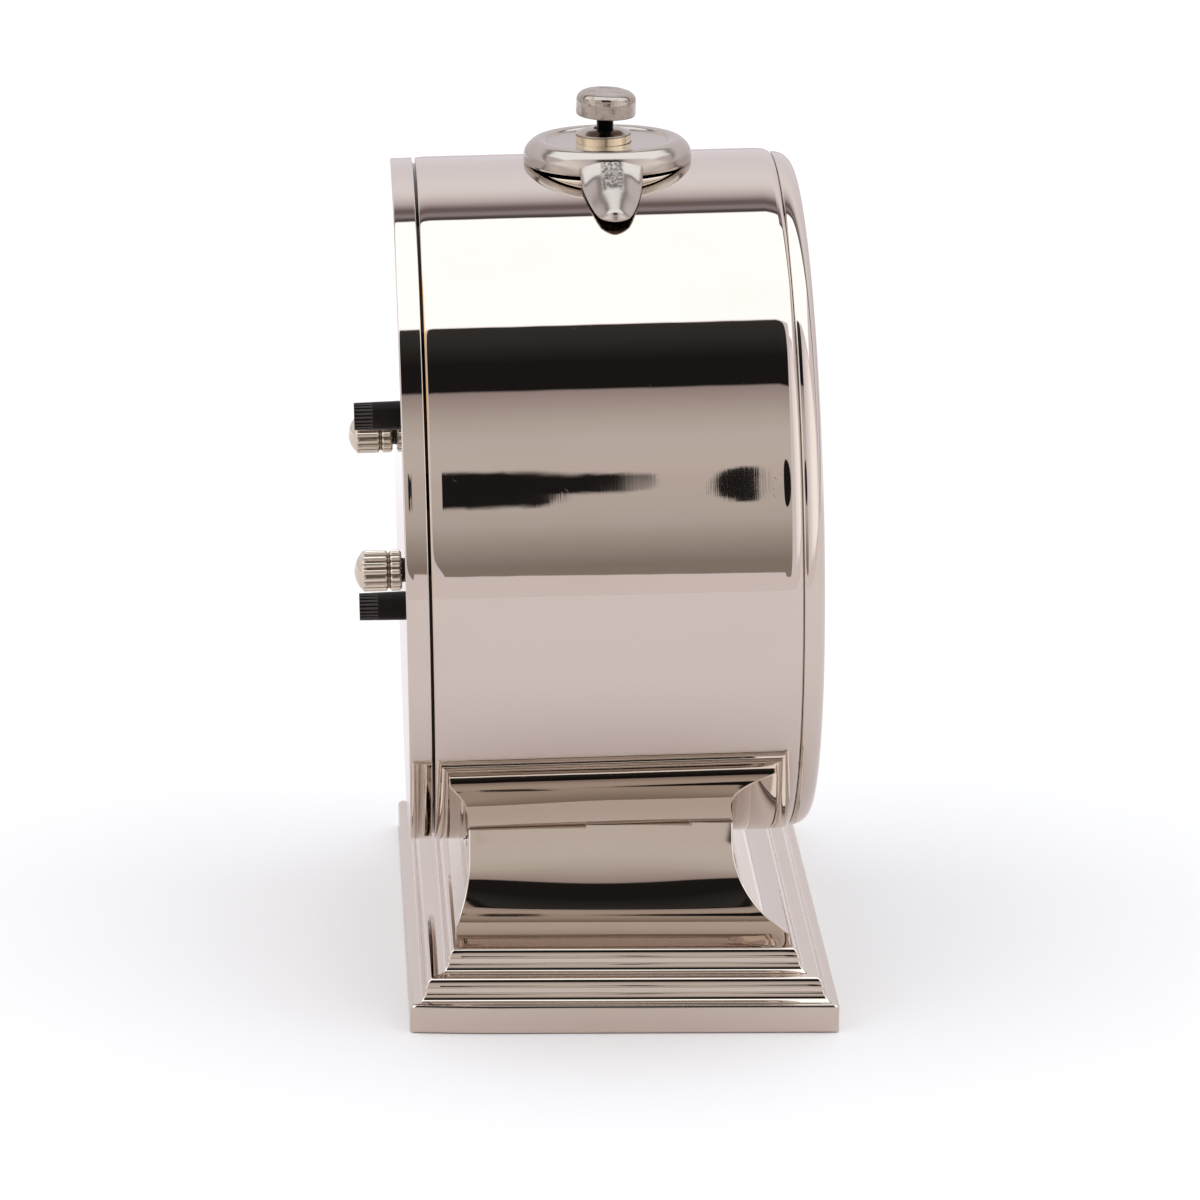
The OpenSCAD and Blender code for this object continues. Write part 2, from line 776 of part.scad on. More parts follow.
// Boss between the lever ring and the drum, with its underside cut to the drum's curve.
module button_saddle() {
    saddle_r = ring_d / 2 - 0.2;
    color(nickel) difference() {
        top() translate([0, 0, drum_r - 4]) cylinder(r1 = saddle_r - 1.6, r2 = saddle_r,
            h = 4 + saddle_skin);
        head() disc(drum_r + 0.02, drum_rear, drum_front);
        top() disc(barrel_r + drop_fit, drum_r - 6, saddle_top + over);
    }
}

// Faceted tongue: a ridge with a flat top, run down over the drum's side and trimmed in plan.
module tongue(rim_at) {
    tip_h = drum_r - 5.2;
    slope = atan2(ring_top - tip_h, tongue_reach - rim_at);
    tip_r = 0.32 * tongue_w;
    half = tongue_w / 2 + 0.3;
    facet_drop = 3.2;
    deep = 9;
    intersection() {
        translate([-rim_at, 0, ring_top]) rotate([0, -slope, 0]) rotate([0, -90, 0]) {
            translate([0, 0, -2 * over]) linear_extrude(height = 2 * tongue_reach) {
                polygon([[0, -facet_w / 2], [0, facet_w / 2], [-facet_drop, half], [-deep, half],
                    [-deep, -half], [-facet_drop, -half]]);
            }
        }
        translate([0, 0, tip_h - 4]) linear_extrude(height = ring_top + over - tip_h + 4) {
            polygon([[over - rim_at, -tongue_w / 2], [over - rim_at, tongue_w / 2],
                [tip_r - tongue_reach, tip_r], [tip_r - tongue_reach, -tip_r]]);
            translate([tip_r - tongue_reach, 0]) circle(r = tip_r);
        }
    }
}

// Ring with a rounded rim and a shallow dish, and the tongue that hangs over the drum's side.
module lever_ring() {
    ring_r = ring_d / 2;
    rim_at = ring_r - rim_r;
    color(nickel) difference() {
        union() {
            top() rotate_extrude() difference() {
                union() {
                    span([0, ring_foot], [ring_r, ring_top - rim_r]);
                    span([0, ring_foot], [rim_at, ring_top]);
                    translate([rim_at, ring_top - rim_r]) circle(r = rim_r);
                }
                polygon([[-over, ring_top - dish], [collar_d / 2 + 1, ring_top - dish],
                    [rim_at - 1.2, ring_top + 0.02], [rim_at - 1.2, ring_top + over], [-over, ring_top + over]]);
                span([-over, ring_foot - 2 * rim_r], [ring_r + over, ring_foot]);
            }
            difference() {
                top() tongue(rim_at);
                head() disc(drum_r + tongue_gap, drum_rear, drum_front);
                top() disc(ring_r + drop_fit, drum_r - 4, ring_foot);
            }
        }
        top() disc(barrel_r + run_fit, drum_r - 2, ring_top + over);
    }
}

// Collar with a countersunk mouth, on a threaded barrel that is blind but for the stem's hole.
module button_collar() {
    mouth_r = collar_d / 2 - 1.2;
    color(brass) top() difference() {
        union() {
            disc(barrel_r, barrel_foot, collar_foot + 0.1);
            disc(collar_d / 2, collar_foot, collar_top - 0.5);
            translate([0, 0, collar_top - 0.5]) cylinder(r1 = collar_d / 2, r2 = collar_d / 2 - 0.5, h = 0.5);
        }
        disc(cavity_r, spring_seat, collar_top + over);
        translate([0, 0, collar_top - 1]) cylinder(r1 = cavity_r, r2 = mouth_r, h = 1.001);
        disc(stem_r + run_fit, barrel_foot - over, spring_seat + over);
    }
}

module barrel_nut() {
    foot = bracket_top - bracket_t - barrel_nut_h;
    color(brass) top() translate([0, 0, foot]) hex_nut(1.45 * barrel_d, barrel_r, barrel_nut_h);
}

// Strip clamped under the barrel's nut, with a shelf for the switch below the stem.
module switch_bracket() {
    arm_low = switch_top - switch_h - bracket_t;
    half = bracket_w / 2;
    color(steel) top() difference() {
        union() {
            translate([-half, -bracket_arm, bracket_top - bracket_t]) {
                cube([bracket_w, bracket_arm + half, bracket_t]);
            }
            translate([-half, -bracket_arm - bracket_t, arm_low]) {
                cube([bracket_w, bracket_t, bracket_top - arm_low]);
            }
            translate([-half, -bracket_arm, arm_low]) cube([bracket_w, bracket_arm + half, bracket_t]);
        }
        disc(barrel_r + drop_fit, bracket_top - 2 * bracket_t, bracket_top + over);
    }
}

module stop_switch() {
    color(black) top() translate([-4, -3.2, switch_top - switch_h]) cube([8, 6.4, switch_h]);
}

// Loose cap with a rounded shoulder and a small flat top.
module button_head() {
    r = button_d / 2;
    round_r = 2.1;
    color(nickel) top() difference() {
        rotate_extrude() {
            span([0, head_foot], [r, head_top - round_r]);
            span([0, head_foot], [r - round_r, head_top]);
            intersection() {
                translate([r - round_r, head_top - round_r]) circle(r = round_r);
                span([0, head_foot], [r, head_top]);
            }
        }
        disc(neck_r, head_foot - over, head_foot + 2);
    }
}

module button_stem() {
    color(black) top() {
        disc(neck_r, spring_top, head_foot + 2);
        disc(cavity_r - 0.15, spring_top, spring_top + spring_cup_t);
        disc(stem_r, stem_foot, spring_top + 0.1);
    }
}

module button_clip() {
    color(steel) top() ring(2.6, stem_r, barrel_foot - 0.7, barrel_foot - 0.1);
}

// Compression spring round the stem: one unbroken tube swept along a helix.
module button_spring() {
    wire_r = spring_wire / 2;
    coil_r = (stem_r + cavity_r) / 2;
    low = spring_seat + wire_r + 0.05;
    rise = spring_top - wire_r - 0.05 - low;
    sides = 6;
    steps = 20 * spring_turns;
    tilt = atan2(rise / spring_turns, 2 * PI * coil_r);
    points = [for (i = [0 : steps]) let (t = i / steps, a = 360 * spring_turns * t)
        for (s = [0 : sides - 1]) let (b = 360 * s / sides, out = wire_r * cos(b), up = wire_r * sin(b))
        [(coil_r + out) * cos(a) + up * sin(tilt) * sin(a),
         (coil_r + out) * sin(a) - up * sin(tilt) * cos(a), low + rise * t + up * cos(tilt)]];
    sides_a = [for (i = [0 : steps - 1], s = [0 : sides - 1])
        [i * sides + s, (i + 1) * sides + s, i * sides + (s + 1) % sides]];
    sides_b = [for (i = [0 : steps - 1], s = [0 : sides - 1])
        [i * sides + (s + 1) % sides, (i + 1) * sides + s, (i + 1) * sides + (s + 1) % sides]];
    start = [for (s = [1 : sides - 2]) [0, s, s + 1]];
    end = [for (s = [1 : sides - 2]) [steps * sides, steps * sides + s + 1, steps * sides + s]];
    color(steel) top() polyhedron(points, concat(sides_a, sides_b, start, end));
}

base_casting();
felt_pad();
base_screws();
base_nuts();
drum_shell();
rear_cover();
cover_studs();
bezel();
crystal();
crystal_gasket();
dial_ring();
dial();
dial_plate();
movement_case();
movement_cover();
center_bush();
bush_nut();
bush_washer();
battery();
battery_contacts();
buzzer();
hour_hand();
hour_pipe();
minute_hand();
minute_pipe();
second_hand();
second_arbor();
alarm_hand();
alarm_pipe();
time_knob();
time_shaft();
alarm_knob();
alarm_shaft();
thumb_nut_left();
thumb_nut_right();
button_saddle();
lever_ring();
button_collar();
barrel_nut();
switch_bracket();
stop_switch();
button_head();
button_stem();
button_clip();
button_spring();
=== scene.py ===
import bmesh
import bpy
from math import acos, cos, degrees, pi, radians, sin, sqrt, tan
from mathutils import Matrix, Vector


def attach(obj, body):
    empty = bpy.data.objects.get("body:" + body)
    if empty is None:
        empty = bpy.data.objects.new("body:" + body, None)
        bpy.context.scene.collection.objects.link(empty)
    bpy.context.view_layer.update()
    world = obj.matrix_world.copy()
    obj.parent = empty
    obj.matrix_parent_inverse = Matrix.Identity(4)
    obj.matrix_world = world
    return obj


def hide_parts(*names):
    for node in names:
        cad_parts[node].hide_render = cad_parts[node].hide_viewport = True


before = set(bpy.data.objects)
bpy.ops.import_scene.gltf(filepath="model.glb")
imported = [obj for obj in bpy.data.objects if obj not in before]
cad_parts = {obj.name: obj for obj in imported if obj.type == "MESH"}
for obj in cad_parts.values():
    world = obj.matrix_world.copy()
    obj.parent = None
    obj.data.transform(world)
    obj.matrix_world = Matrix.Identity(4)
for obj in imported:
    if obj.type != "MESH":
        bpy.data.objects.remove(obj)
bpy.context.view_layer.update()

# Drum. A brass tube spun over at the front into a rounded shoulder, nickel plated and buffed to a
# mirror, with fine polishing lines running round it. It leans back a little on its base, and its
# cut rear edge shows brass through the thin plating.
LEAN = 1.75
HEAD = (Matrix.Translation((0, 0.0033, 0.09465)) @ Matrix.Rotation(radians(90 - LEAN), 4, "X")
        @ Matrix.Scale(0.001, 4))
DRUM_R, DRUM_BORE, DRUM_REAR, DRUM_FRONT = 70.6, 69.3, -36.4, 36.85
MOUTH_R, LIP_BACK = 68.1, 35.55
BUTTON_AT, BUTTON_HOLE = 2.8, 4.7


class Num:
    """A number or colour inside a material; arithmetic on it adds Math nodes."""

    def __init__(self, finish, socket):
        self.finish, self.socket = finish, socket

    def math(self, operation, *others):
        values = dict(enumerate((self,) + others))
        return self.finish.node("ShaderNodeMath", {"operation": operation}, values)

    def __add__(self, other):
        return self.math("ADD", other)

    def __sub__(self, other):
        return self.math("SUBTRACT", other)

    def __rsub__(self, other):
        return (self * -1.0).math("ADD", other)

    def __mul__(self, other):
        return self.math("MULTIPLY", other)

    def __truediv__(self, other):
        return self.math("DIVIDE", other)

    def __pow__(self, other):
        return self.math("POWER", other)

    __radd__, __rmul__ = __add__, __mul__

    def fade(self, low, high):
        """0 below low, 1 above high, with a soft step between them."""
        return self.finish.node("ShaderNodeMapRange", {"interpolation_type": "SMOOTHSTEP"},
                                {"Value": self, "From Min": low, "From Max": high})

    def between(self, low, high, soft):
        """1 between two values and 0 outside them, with soft edges."""
        return self.fade(low - soft, low + soft) * (1.0 - self.fade(high - soft, high + soft))


class Finish:
    """One material: a Principled shader and the nodes that vary it over the surface."""

    def __init__(self, name, colour, roughness, metallic=0.0, **constants):
        self.made = bpy.data.materials.new(name)
        self.made.use_nodes = True
        self.tree = self.made.node_tree
        self.shader = self.tree.nodes["Principled BSDF"]
        self.made.diffuse_color = (*colour, 1)
        self.shader.inputs["Base Color"].default_value = (*colour, 1)
        self.shader.inputs["Roughness"].default_value = roughness
        self.shader.inputs["Metallic"].default_value = metallic
        for socket, value in constants.items():
            self.shader.inputs[socket.replace("_", " ")].default_value = value

    def node(self, kind, settings=None, values=None, output=0):
        """Adds one node: its settings first, then the values or links of its sockets."""
        made = self.tree.nodes.new(kind)
        for key, value in (settings or {}).items():
            if key == "stops":
                while len(made.color_ramp.elements) < len(value):
                    made.color_ramp.elements.new(1)
                for element, (at, colour) in zip(made.color_ramp.elements, value):
                    element.position, element.color = at, (*colour, 1)
            else:
                setattr(made, key, value)
        for key, value in (values or {}).items():
            if isinstance(value, Num):
                self.tree.links.new(value.socket, made.inputs[key])
            else:
                made.inputs[key].default_value = value
        return Num(self, made.outputs[output])

    def where(self, scale=(1, 1, 1), turn=(0, 0, 0), shift=(0, 0, 0)):
        """The point on the piece, turned and stretched, so that a pattern can follow its form."""
        point = self.node("ShaderNodeTexCoord", output="Object")
        turned = self.node("ShaderNodeMapping", {"vector_type": "POINT"},
                           {"Vector": point, "Location": shift, "Rotation": turn})
        return self.node("ShaderNodeMapping", None, {"Vector": turned, "Scale": scale})

    def across(self, axis, turn=(0, 0, 0), shift=(0, 0, 0)):
        """How far the point lies along one axis, in millimetres."""
        return self.node("ShaderNodeSeparateXYZ", None,
                         {"Vector": self.where((1000, 1000, 1000), turn, shift)}, output=axis)

    def noise(self, at, scale=1.0, detail=2.0, roughness=0.5):
        return self.node("ShaderNodeTexNoise", None,
                         {"Vector": at, "Scale": scale, "Detail": detail, "Roughness": roughness})

    def mix(self, share, first, second):
        """A colour between two colours."""
        colours = [value if isinstance(value, Num) else (*value, 1) for value in (first, second)]
        return self.node("ShaderNodeMix", {"data_type": "RGBA"},
                         {"Factor": share, 6: colours[0], 7: colours[1]}, output=2)

    def give(self, socket, value):
        self.tree.links.new(value.socket, self.shader.inputs[socket])

    def relief(self, *layers):
        """Bumps from (height in metres, pattern) layers, one on another."""
        below = None
        for height, pattern in layers:
            values = {"Strength": 1.0, "Distance": height, "Height": pattern}
            if below:
                values["Normal"] = below
            below = self.node("ShaderNodeBump", None, values)
        self.give("Normal", below)

    def lies_on(self, *pieces):
        for piece in pieces:
            piece.data.materials.clear()
            piece.data.materials.append(self.made)
        return self

    def dresses(self, *nodes):
        """Puts the finish on solids of the frame that are shown as they are."""
        for node in nodes:
            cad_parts[node].material_slots[0].material = self.made
        return self


# The head's own directions as a Mapping rotation: the pattern's Z then runs along the drum. The
# shift puts its zero in the middle of the drum.
ALONG_DRUM = (radians(LEAN - 90), 0, 0)
TO_MIDDLE = (0, -0.09471, 0.000408)
NICKEL = (0.66, 0.59, 0.54)
RAW_BRASS = (0.62, 0.36, 0.13)


def in_head(made, axis):
    """How far the point lies along one of the head's own axes, in millimetres from its middle."""
    return made.across(axis, ALONG_DRUM, TO_MIDDLE)


def from_line(made, x, y):
    """How far the point lies from a line along the drum, in millimetres."""
    return ((in_head(made, "X") - x) ** 2.0 + (in_head(made, "Y") - y) ** 2.0) ** 0.5


def plated(name, lines, turn=ALONG_DRUM, roughness=0.035, ripple=1.0, tint=NICKEL, worn=None,
           wear_and_shade_colour=RAW_BRASS):
    """Nickel plate: lines gives how finely the polishing marks run along each direction.

    worn gives, for the material, how much of a second colour shows at a point: brass, patina and
    bare nickel where the plate is worn on different pieces, a darker brown in the thumb nuts' flute
    valleys, and painted shade in the rear cover's seam.
    """
    made = Finish(name, tint, roughness, 1.0)
    marks = made.noise(made.where(lines, turn), detail=3.0, roughness=0.6)
    swell = made.noise(made.where(), 95.0, 1.0)
    haze = made.noise(made.where(), 38.0, 3.0, 0.6)
    cell = made.node("ShaderNodeTexVoronoi", None, {"Vector": made.where(), "Scale": 110.0})
    lot = made.noise(made.where(), 61.0, 0.0)
    pits = (1.0 - cell.fade(0.018, 0.034)) * lot.fade(0.62, 0.64)
    hairs = made.noise(made.where((2600, 90, 900), (0.3, 0.5, 0.9)), 1.0, 0.0)
    scratched = hairs.fade(0.76, 0.8) * lot.fade(0.5, 0.6)
    stain = haze.fade(0.42, 0.8) * 0.16 + pits * 0.5
    brown = tuple(channel * weight for channel, weight in zip(tint, (0.86, 0.82, 0.76)))
    colour = made.mix(stain, tint, brown)
    if worn:
        colour = made.mix(worn(made), colour, wear_and_shade_colour)
    made.give("Base Color", colour)
    made.give("Roughness", haze.fade(0.3, 0.9) * roughness * 0.8 + marks * roughness * 0.5
              + pits * 0.25 + scratched * 0.05 + roughness * 0.45)
    made.relief((3.2e-7 * ripple, marks), (1.1e-5 * ripple, swell), (-1.5e-5, pits))
    return made


class Outline:
    """Half the section of a turned piece, drawn point by point as radius and height."""

    def __init__(self, radius, height):
        self.bm = bmesh.new()
        self.first = self.last = self.bm.verts.new((radius, 0, height))
        self.corners = []

    def to(self, radius, height, corner=0.0):
        new = self.bm.verts.new((radius, 0, height))
        self.bm.edges.new((self.last, new))
        self.last = new
        if corner:
            self.corners.append((new, corner))
        return self

    def arc(self, radius, height, turn, steps=12):
        """Swings the last point round a centre, clockwise for a positive turn."""
        swept = bmesh.ops.spin(self.bm, geom=[self.last], cent=(radius, 0, height), axis=(0, 1, 0),
                               angle=radians(turn), steps=steps)
        self.last = swept["geom_last"][0]
        return self

    def close(self):
        self.bm.edges.new((self.last, self.first))
        return self

    def ease(self):
        """Rounds the corners to their radii."""
        for vert, corner in self.corners:
            a, b = ((e.other_vert(vert).co - vert.co).normalized() for e in vert.link_edges)
            reach = corner / tan(acos(max(-1, min(1, a.dot(b)))) / 2)
            bmesh.ops.bevel(self.bm, geom=[vert], offset=reach, offset_type="OFFSET", segments=10,
                            profile=0.5, affect="VERTICES", material=-1)
        return self

    def spun(self, name, place=HEAD, steps=256):
        """Rounds the corners, spins the outline about its axis and puts the piece in place."""
        self.ease()
        bmesh.ops.spin(self.bm, geom=self.bm.verts[:] + self.bm.edges[:], axis=(0, 0, 1),
                       cent=(0, 0, 0), angle=2 * pi, steps=steps, use_merge=True)
        return finished(name, self.bm, place)


def finished(name, bm, place=HEAD, crease=32):
    """Merges doubles, turns the faces outwards and makes the piece in the clock's frame."""
    bmesh.ops.remove_doubles(bm, verts=bm.verts[:], dist=1e-4)
    bmesh.ops.recalc_face_normals(bm, faces=bm.faces[:])
    bmesh.ops.transform(bm, matrix=place, verts=bm.verts[:])
    mesh = bpy.data.meshes.new(name)
    bm.to_mesh(mesh)
    bm.free()
    mesh.shade_smooth()
    mesh.set_sharp_from_angle(angle=radians(crease))
    piece = bpy.data.objects.new(name, mesh)
    bpy.context.scene.collection.objects.link(piece)
    even = piece.modifiers.new("even", "WEIGHTED_NORMAL")
    even.keep_sharp = True
    return piece


def on_body(piece, body, slot, *nodes):
    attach(piece, body)
    if nodes:
        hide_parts(*nodes)
    return piece


def cut(piece, *cutters):
    """Takes the cutters out of a piece and removes them."""
    for cutter in cutters:
        taken = piece.modifiers.new("cut", "BOOLEAN")
        taken.operation, taken.solver, taken.object = "DIFFERENCE", "EXACT", cutter
        piece.modifiers.move(len(piece.modifiers) - 1, 0)
        ready = piece.evaluated_get(bpy.context.evaluated_depsgraph_get())
        mesh = bpy.data.meshes.new_from_object(ready)
        piece.modifiers.remove(piece.modifiers["cut"])
        piece.data = mesh
        bpy.data.objects.remove(cutter)
    return piece


def peg(radius, low, high, x=0, y=0, steps=96, place=HEAD):
    """A plain cylinder along the head's axis, used as a cutter."""
    return (Outline(0, low).to(radius, low).to(radius, high).to(0, high)
            .spun("peg", place @ Matrix.Translation((x, y, 0)), steps))


# The button and its lever stand on the drum's top, square to it, with a little play.
TOP = HEAD @ Matrix.Translation((0, 0, BUTTON_AT)) @ Matrix.Rotation(radians(-90), 4, "X")

drum = (Outline(DRUM_BORE, DRUM_REAR).to(DRUM_R - 0.2, DRUM_REAR, 0.3)
        .to(DRUM_R, DRUM_REAR + 1.1, 17).to(DRUM_R, -9).to(DRUM_R, 14.6)
        .to(DRUM_R, DRUM_FRONT - 2.6, 16).to(DRUM_R - 0.18, DRUM_FRONT - 1.35)
        .to(DRUM_R - 0.5, DRUM_FRONT - 0.4, 1.5).to(DRUM_R - 1.1, DRUM_FRONT, 0.4)
        .to(MOUTH_R, DRUM_FRONT).to(MOUTH_R, LIP_BACK).to(DRUM_BORE, LIP_BACK, 1.1)
        .to(DRUM_BORE, 14.6).to(DRUM_BORE, -9).close().spun("drum"))
cut(drum, peg(BUTTON_HOLE, 60, 80, place=TOP))
on_body(drum, "case", "nickel", "drum_shell")


def brass_edge(made):
    """The drum's rear edge, rubbed through most between two heights where a hand takes it."""
    rubbed = made.across("Z").between(124, 150, 3.0) * 0.7 + 0.3
    return (1.0 - in_head(made, "Z").fade(DRUM_REAR + 0.15, DRUM_REAR + 0.45)) * rubbed


plated("nickel_round_the_drum", (70, 70, 2600), roughness=0.02, worn=brass_edge).lies_on(drum)

# Rear cover. A flat brass cup, plated like the drum, that closes it behind a thin seam. Its rim
# centres it in the drum, and the setting knobs stand in two plain holes.
COVER_BACK, COVER_EDGE, COVER_WALL = -41.45, -36.9, 1.2
SPIGOT_R, SPIGOT_END = 69.2, -33.45
KNOB_X, TIME_Y, ALARM_Y = -12, 21, -19.5

cover = (Outline(0, COVER_BACK).to(70.36, COVER_BACK, 0.3).to(70.465, COVER_BACK + 0.45, 14)
         .to(70.435, COVER_BACK + 1.7, 14).to(70.48, COVER_EDGE, 0.25).to(SPIGOT_R, COVER_EDGE)
         .to(SPIGOT_R, SPIGOT_END).to(SPIGOT_R - COVER_WALL, SPIGOT_END)
         .to(SPIGOT_R - COVER_WALL, COVER_BACK + COVER_WALL).to(0, COVER_BACK + COVER_WALL)
         .spun("rear_cover_plate"))
cut(cover, *(peg(3.4, -45, -38, KNOB_X, y) for y in (TIME_Y, ALARM_Y)))
on_body(cover, "case", "nickel", "rear_cover")
# The rear cover's rim face at the seam and its spigot inside the drum are coloured near black:
# painted shade of the seam, not worn plate.
plated("nickel_rear_cover", (70, 70, 2600), wear_and_shade_colour=(0.012, 0.01, 0.009), worn=lambda made: (
    in_head(made, "Z").fade(COVER_EDGE - 0.04, COVER_EDGE + 0.02))).lies_on(cover)

# Bezel. A turned brass ring with a big rounded edge, plated and polished. A skirt behind it drops
# into the drum and holds the crystal, the dial and the plate behind the dial.
BEZEL_R, BEZEL_FRONT, BEZEL_REAR, BEZEL_EDGE = 69.8, 41.3, 36.9, 3.7
SIGHT_R, GLASS_SEAT, GLASS_R = 61.5, 40.15, 66.6
SKIRT_R, SKIRT_IN, SKIRT_END = 67.9, 65.8, 30.85

bezel = (Outline(SIGHT_R, GLASS_SEAT).to(SIGHT_R, GLASS_SEAT + 0.5, 0.2)
         .to(SIGHT_R + 1.7, BEZEL_FRONT, 0.5).to(BEZEL_R, BEZEL_FRONT, BEZEL_EDGE)
         .to(BEZEL_R, BEZEL_REAR, 0.4).to(SKIRT_R, BEZEL_REAR).to(SKIRT_R, SKIRT_END)
         .to(SKIRT_IN, SKIRT_END).to(SKIRT_IN, SKIRT_END + 0.75).to(GLASS_R, SKIRT_END + 0.75)
         .to(GLASS_R, GLASS_SEAT).close().spun("bezel_ring"))
on_body(bezel, "case", "nickel", "bezel")
plated("nickel_bezel", (70, 70, 2600)).lies_on(bezel)


def soft_black(name, *nodes):
    """Moulded rubber: black, with a fine bloom."""
    made = Finish(name, (0.02, 0.02, 0.02), 0.7, Specular_IOR_Level=0.3)
    bloom = made.noise(made.where(), 300.0, 3.0)
    made.give("Base Color", made.mix(bloom.fade(0.35, 0.75), (0.012, 0.012, 0.012),
                                     (0.035, 0.034, 0.034)))
    made.give("Roughness", bloom * 0.3 + 0.5)
    made.relief((8e-6, made.noise(made.where(), 2600.0)))
    return made.dresses(*nodes)


soft_black("rubber_seal", "crystal_gasket", "bush_washer")
glass = Finish("mineral_glass", (0.97, 0.985, 0.98), 0.01, Transmission_Weight=1.0, IOR=1.52)
smear = glass.noise(glass.where(), 26.0, 4.0, 0.6)
glass.give("Base Color", glass.mix(smear.fade(0.4, 0.8), (0.98, 0.99, 0.985),
                                   (0.955, 0.97, 0.965)))
glass.give("Roughness", smear.fade(0.5, 0.85) * 0.03 + 0.004)
glass.dresses("crystal")

# Dial. A thin white painted disc with black printed numbers and a minute track, spaced from the
# glass by a sloping white ring and backed by a steel plate.
DIAL_FACE, INK = 33.35, 0.02
TRACK_R, NUMERAL_R, NUMERAL_SIZE = 57.4, 48.0, 13.5


def painted(name, colour, *nodes):
    """Satin paint with a faint orange peel and a slight unevenness."""
    made = Finish(name, colour, 0.4, Specular_IOR_Level=0.4)
    cloud = made.noise(made.where(), 45.0, 3.0, 0.6)
    deeper = tuple(channel * 0.93 for channel in colour)
    made.give("Base Color", made.mix(cloud.fade(0.3, 0.75), colour, deeper))
    made.give("Roughness", cloud * 0.14 + 0.32)
    made.relief((4e-6, made.noise(made.where(), 900.0, 2.0)))
    return made.dresses(*nodes)


def steel(name, *nodes, lines=(260, 260, 1500)):
    """Zinc-plated steel: bluish grey, with drawn lines and a mottled bloom."""
    made = Finish(name, (0.56, 0.56, 0.57), 0.3, 1.0)
    drawn = made.noise(made.where(lines, ALONG_DRUM), detail=2.0)
    bloom = made.noise(made.where(), 420.0, 3.0)
    made.give("Base Color", made.mix(bloom.fade(0.35, 0.75), (0.6, 0.6, 0.61), (0.47, 0.47, 0.49)))
    made.give("Roughness", drawn * 0.2 + bloom * 0.12 + 0.14)
    made.relief((1.5e-6, drawn))
    return made.dresses(*nodes)


painted("dial_paint", (0.80, 0.79, 0.75), "dial")
painted("dial_ring_paint", (0.76, 0.75, 0.71), "dial_ring")
steel("steel_plate", "dial_plate", lines=(60, 1800, 60))


def printed(x, y, width, height, turn=0.0):
    """One bar of ink on the dial."""
    bar = bmesh.new()
    bmesh.ops.create_cube(bar, size=1)
    bmesh.ops.scale(bar, vec=(width, height, INK), verts=bar.verts[:])
    bmesh.ops.translate(bar, vec=(x, y, 0), verts=bar.verts[:])
    bmesh.ops.rotate(bar, cent=(0, 0, 0), matrix=Matrix.Rotation(turn, 3, "Z"),
                     verts=bar.verts[:])
    return bar


print_bm = bmesh.new()
for minute in range(60):
    out, width, height = (0, 1.0, 3.4) if minute % 5 == 0 else (0.7, 0.4, 2.0)
    tick = printed(0, TRACK_R + out, width, height, -radians(6 * minute))
    tick_mesh = bpy.data.meshes.new("tick")
    tick.to_mesh(tick_mesh)
    print_bm.from_mesh(tick_mesh)
for hour in range(1, 13):
    figure = bpy.data.curves.new("figure", "FONT")
    figure.body, figure.size, figure.extrude = str(hour), NUMERAL_SIZE, INK / 2
    figure.align_x, figure.align_y, figure.resolution_u = "CENTER", "CENTER", 6
    figure_piece = bpy.data.objects.new("figure", figure)
    bpy.context.scene.collection.objects.link(figure_piece)
    ready = figure_piece.evaluated_get(bpy.context.evaluated_depsgraph_get())
    figure_mesh = bpy.data.meshes.new_from_object(ready)
    turn = radians(30 * hour)
    figure_mesh.transform(Matrix.Translation((NUMERAL_R * sin(turn), NUMERAL_R * cos(turn), 0)))
    print_bm.from_mesh(figure_mesh)
    bpy.data.objects.remove(figure_piece)
ink_piece = finished("dial_print", print_bm,
                     HEAD @ Matrix.Translation((0, 0, DIAL_FACE + INK / 2 + 0.002)))
on_body(ink_piece, "case", "hand_black")
painted("printing_ink", (0.018, 0.018, 0.02)).lies_on(ink_piece)

# Hands. Pressed brass pieces, lacquered black, with a red one for the alarm. Each is pushed onto
# its own pipe, one pipe inside the other.


def turned_brass(name, *nodes):
    """Lathe-turned brass with its fine rings and a slight tarnish."""
    made = Finish(name, (0.72, 0.55, 0.28), 0.25, 1.0)
    rings = made.noise(made.where((200, 200, 4200), ALONG_DRUM), detail=2.0)
    tarnish = made.noise(made.where(), 500.0, 3.0)
    made.give("Base Color", made.mix(tarnish.fade(0.4, 0.8), (0.74, 0.57, 0.3), (0.52, 0.36, 0.17)))
    made.give("Roughness", rings * 0.2 + tarnish * 0.16 + 0.1)
    made.relief((2e-6, rings))
    return made.dresses(*nodes)


painted("hand_lacquer", (0.014, 0.014, 0.016), "hour_hand", "minute_hand", "second_hand")
painted("alarm_hand_lacquer", (0.5, 0.02, 0.018), "alarm_hand")
turned_brass("brass_pipes", "hour_pipe", "minute_pipe", "alarm_pipe")
steel("steel_arbor", "second_arbor")

# Movement. A moulded plastic case with an open battery bay, clamped through the dial by a threaded
# brass bush, and the alarm's sounder on its back.


def moulded(name, colour, *nodes):
    """Spark-grained moulded plastic."""
    made = Finish(name, colour, 0.45, Specular_IOR_Level=0.45)
    grain = made.noise(made.where(), 1500.0, 3.0, 0.6)
    flow = made.noise(made.where(), 60.0, 2.0)
    deeper = tuple(channel * 0.82 for channel in colour)
    made.give("Base Color", made.mix(flow.fade(0.3, 0.75), colour, deeper))
    made.give("Roughness", grain * 0.22 + 0.36)
    made.relief((1.4e-5, grain))
    return made.dresses(*nodes)


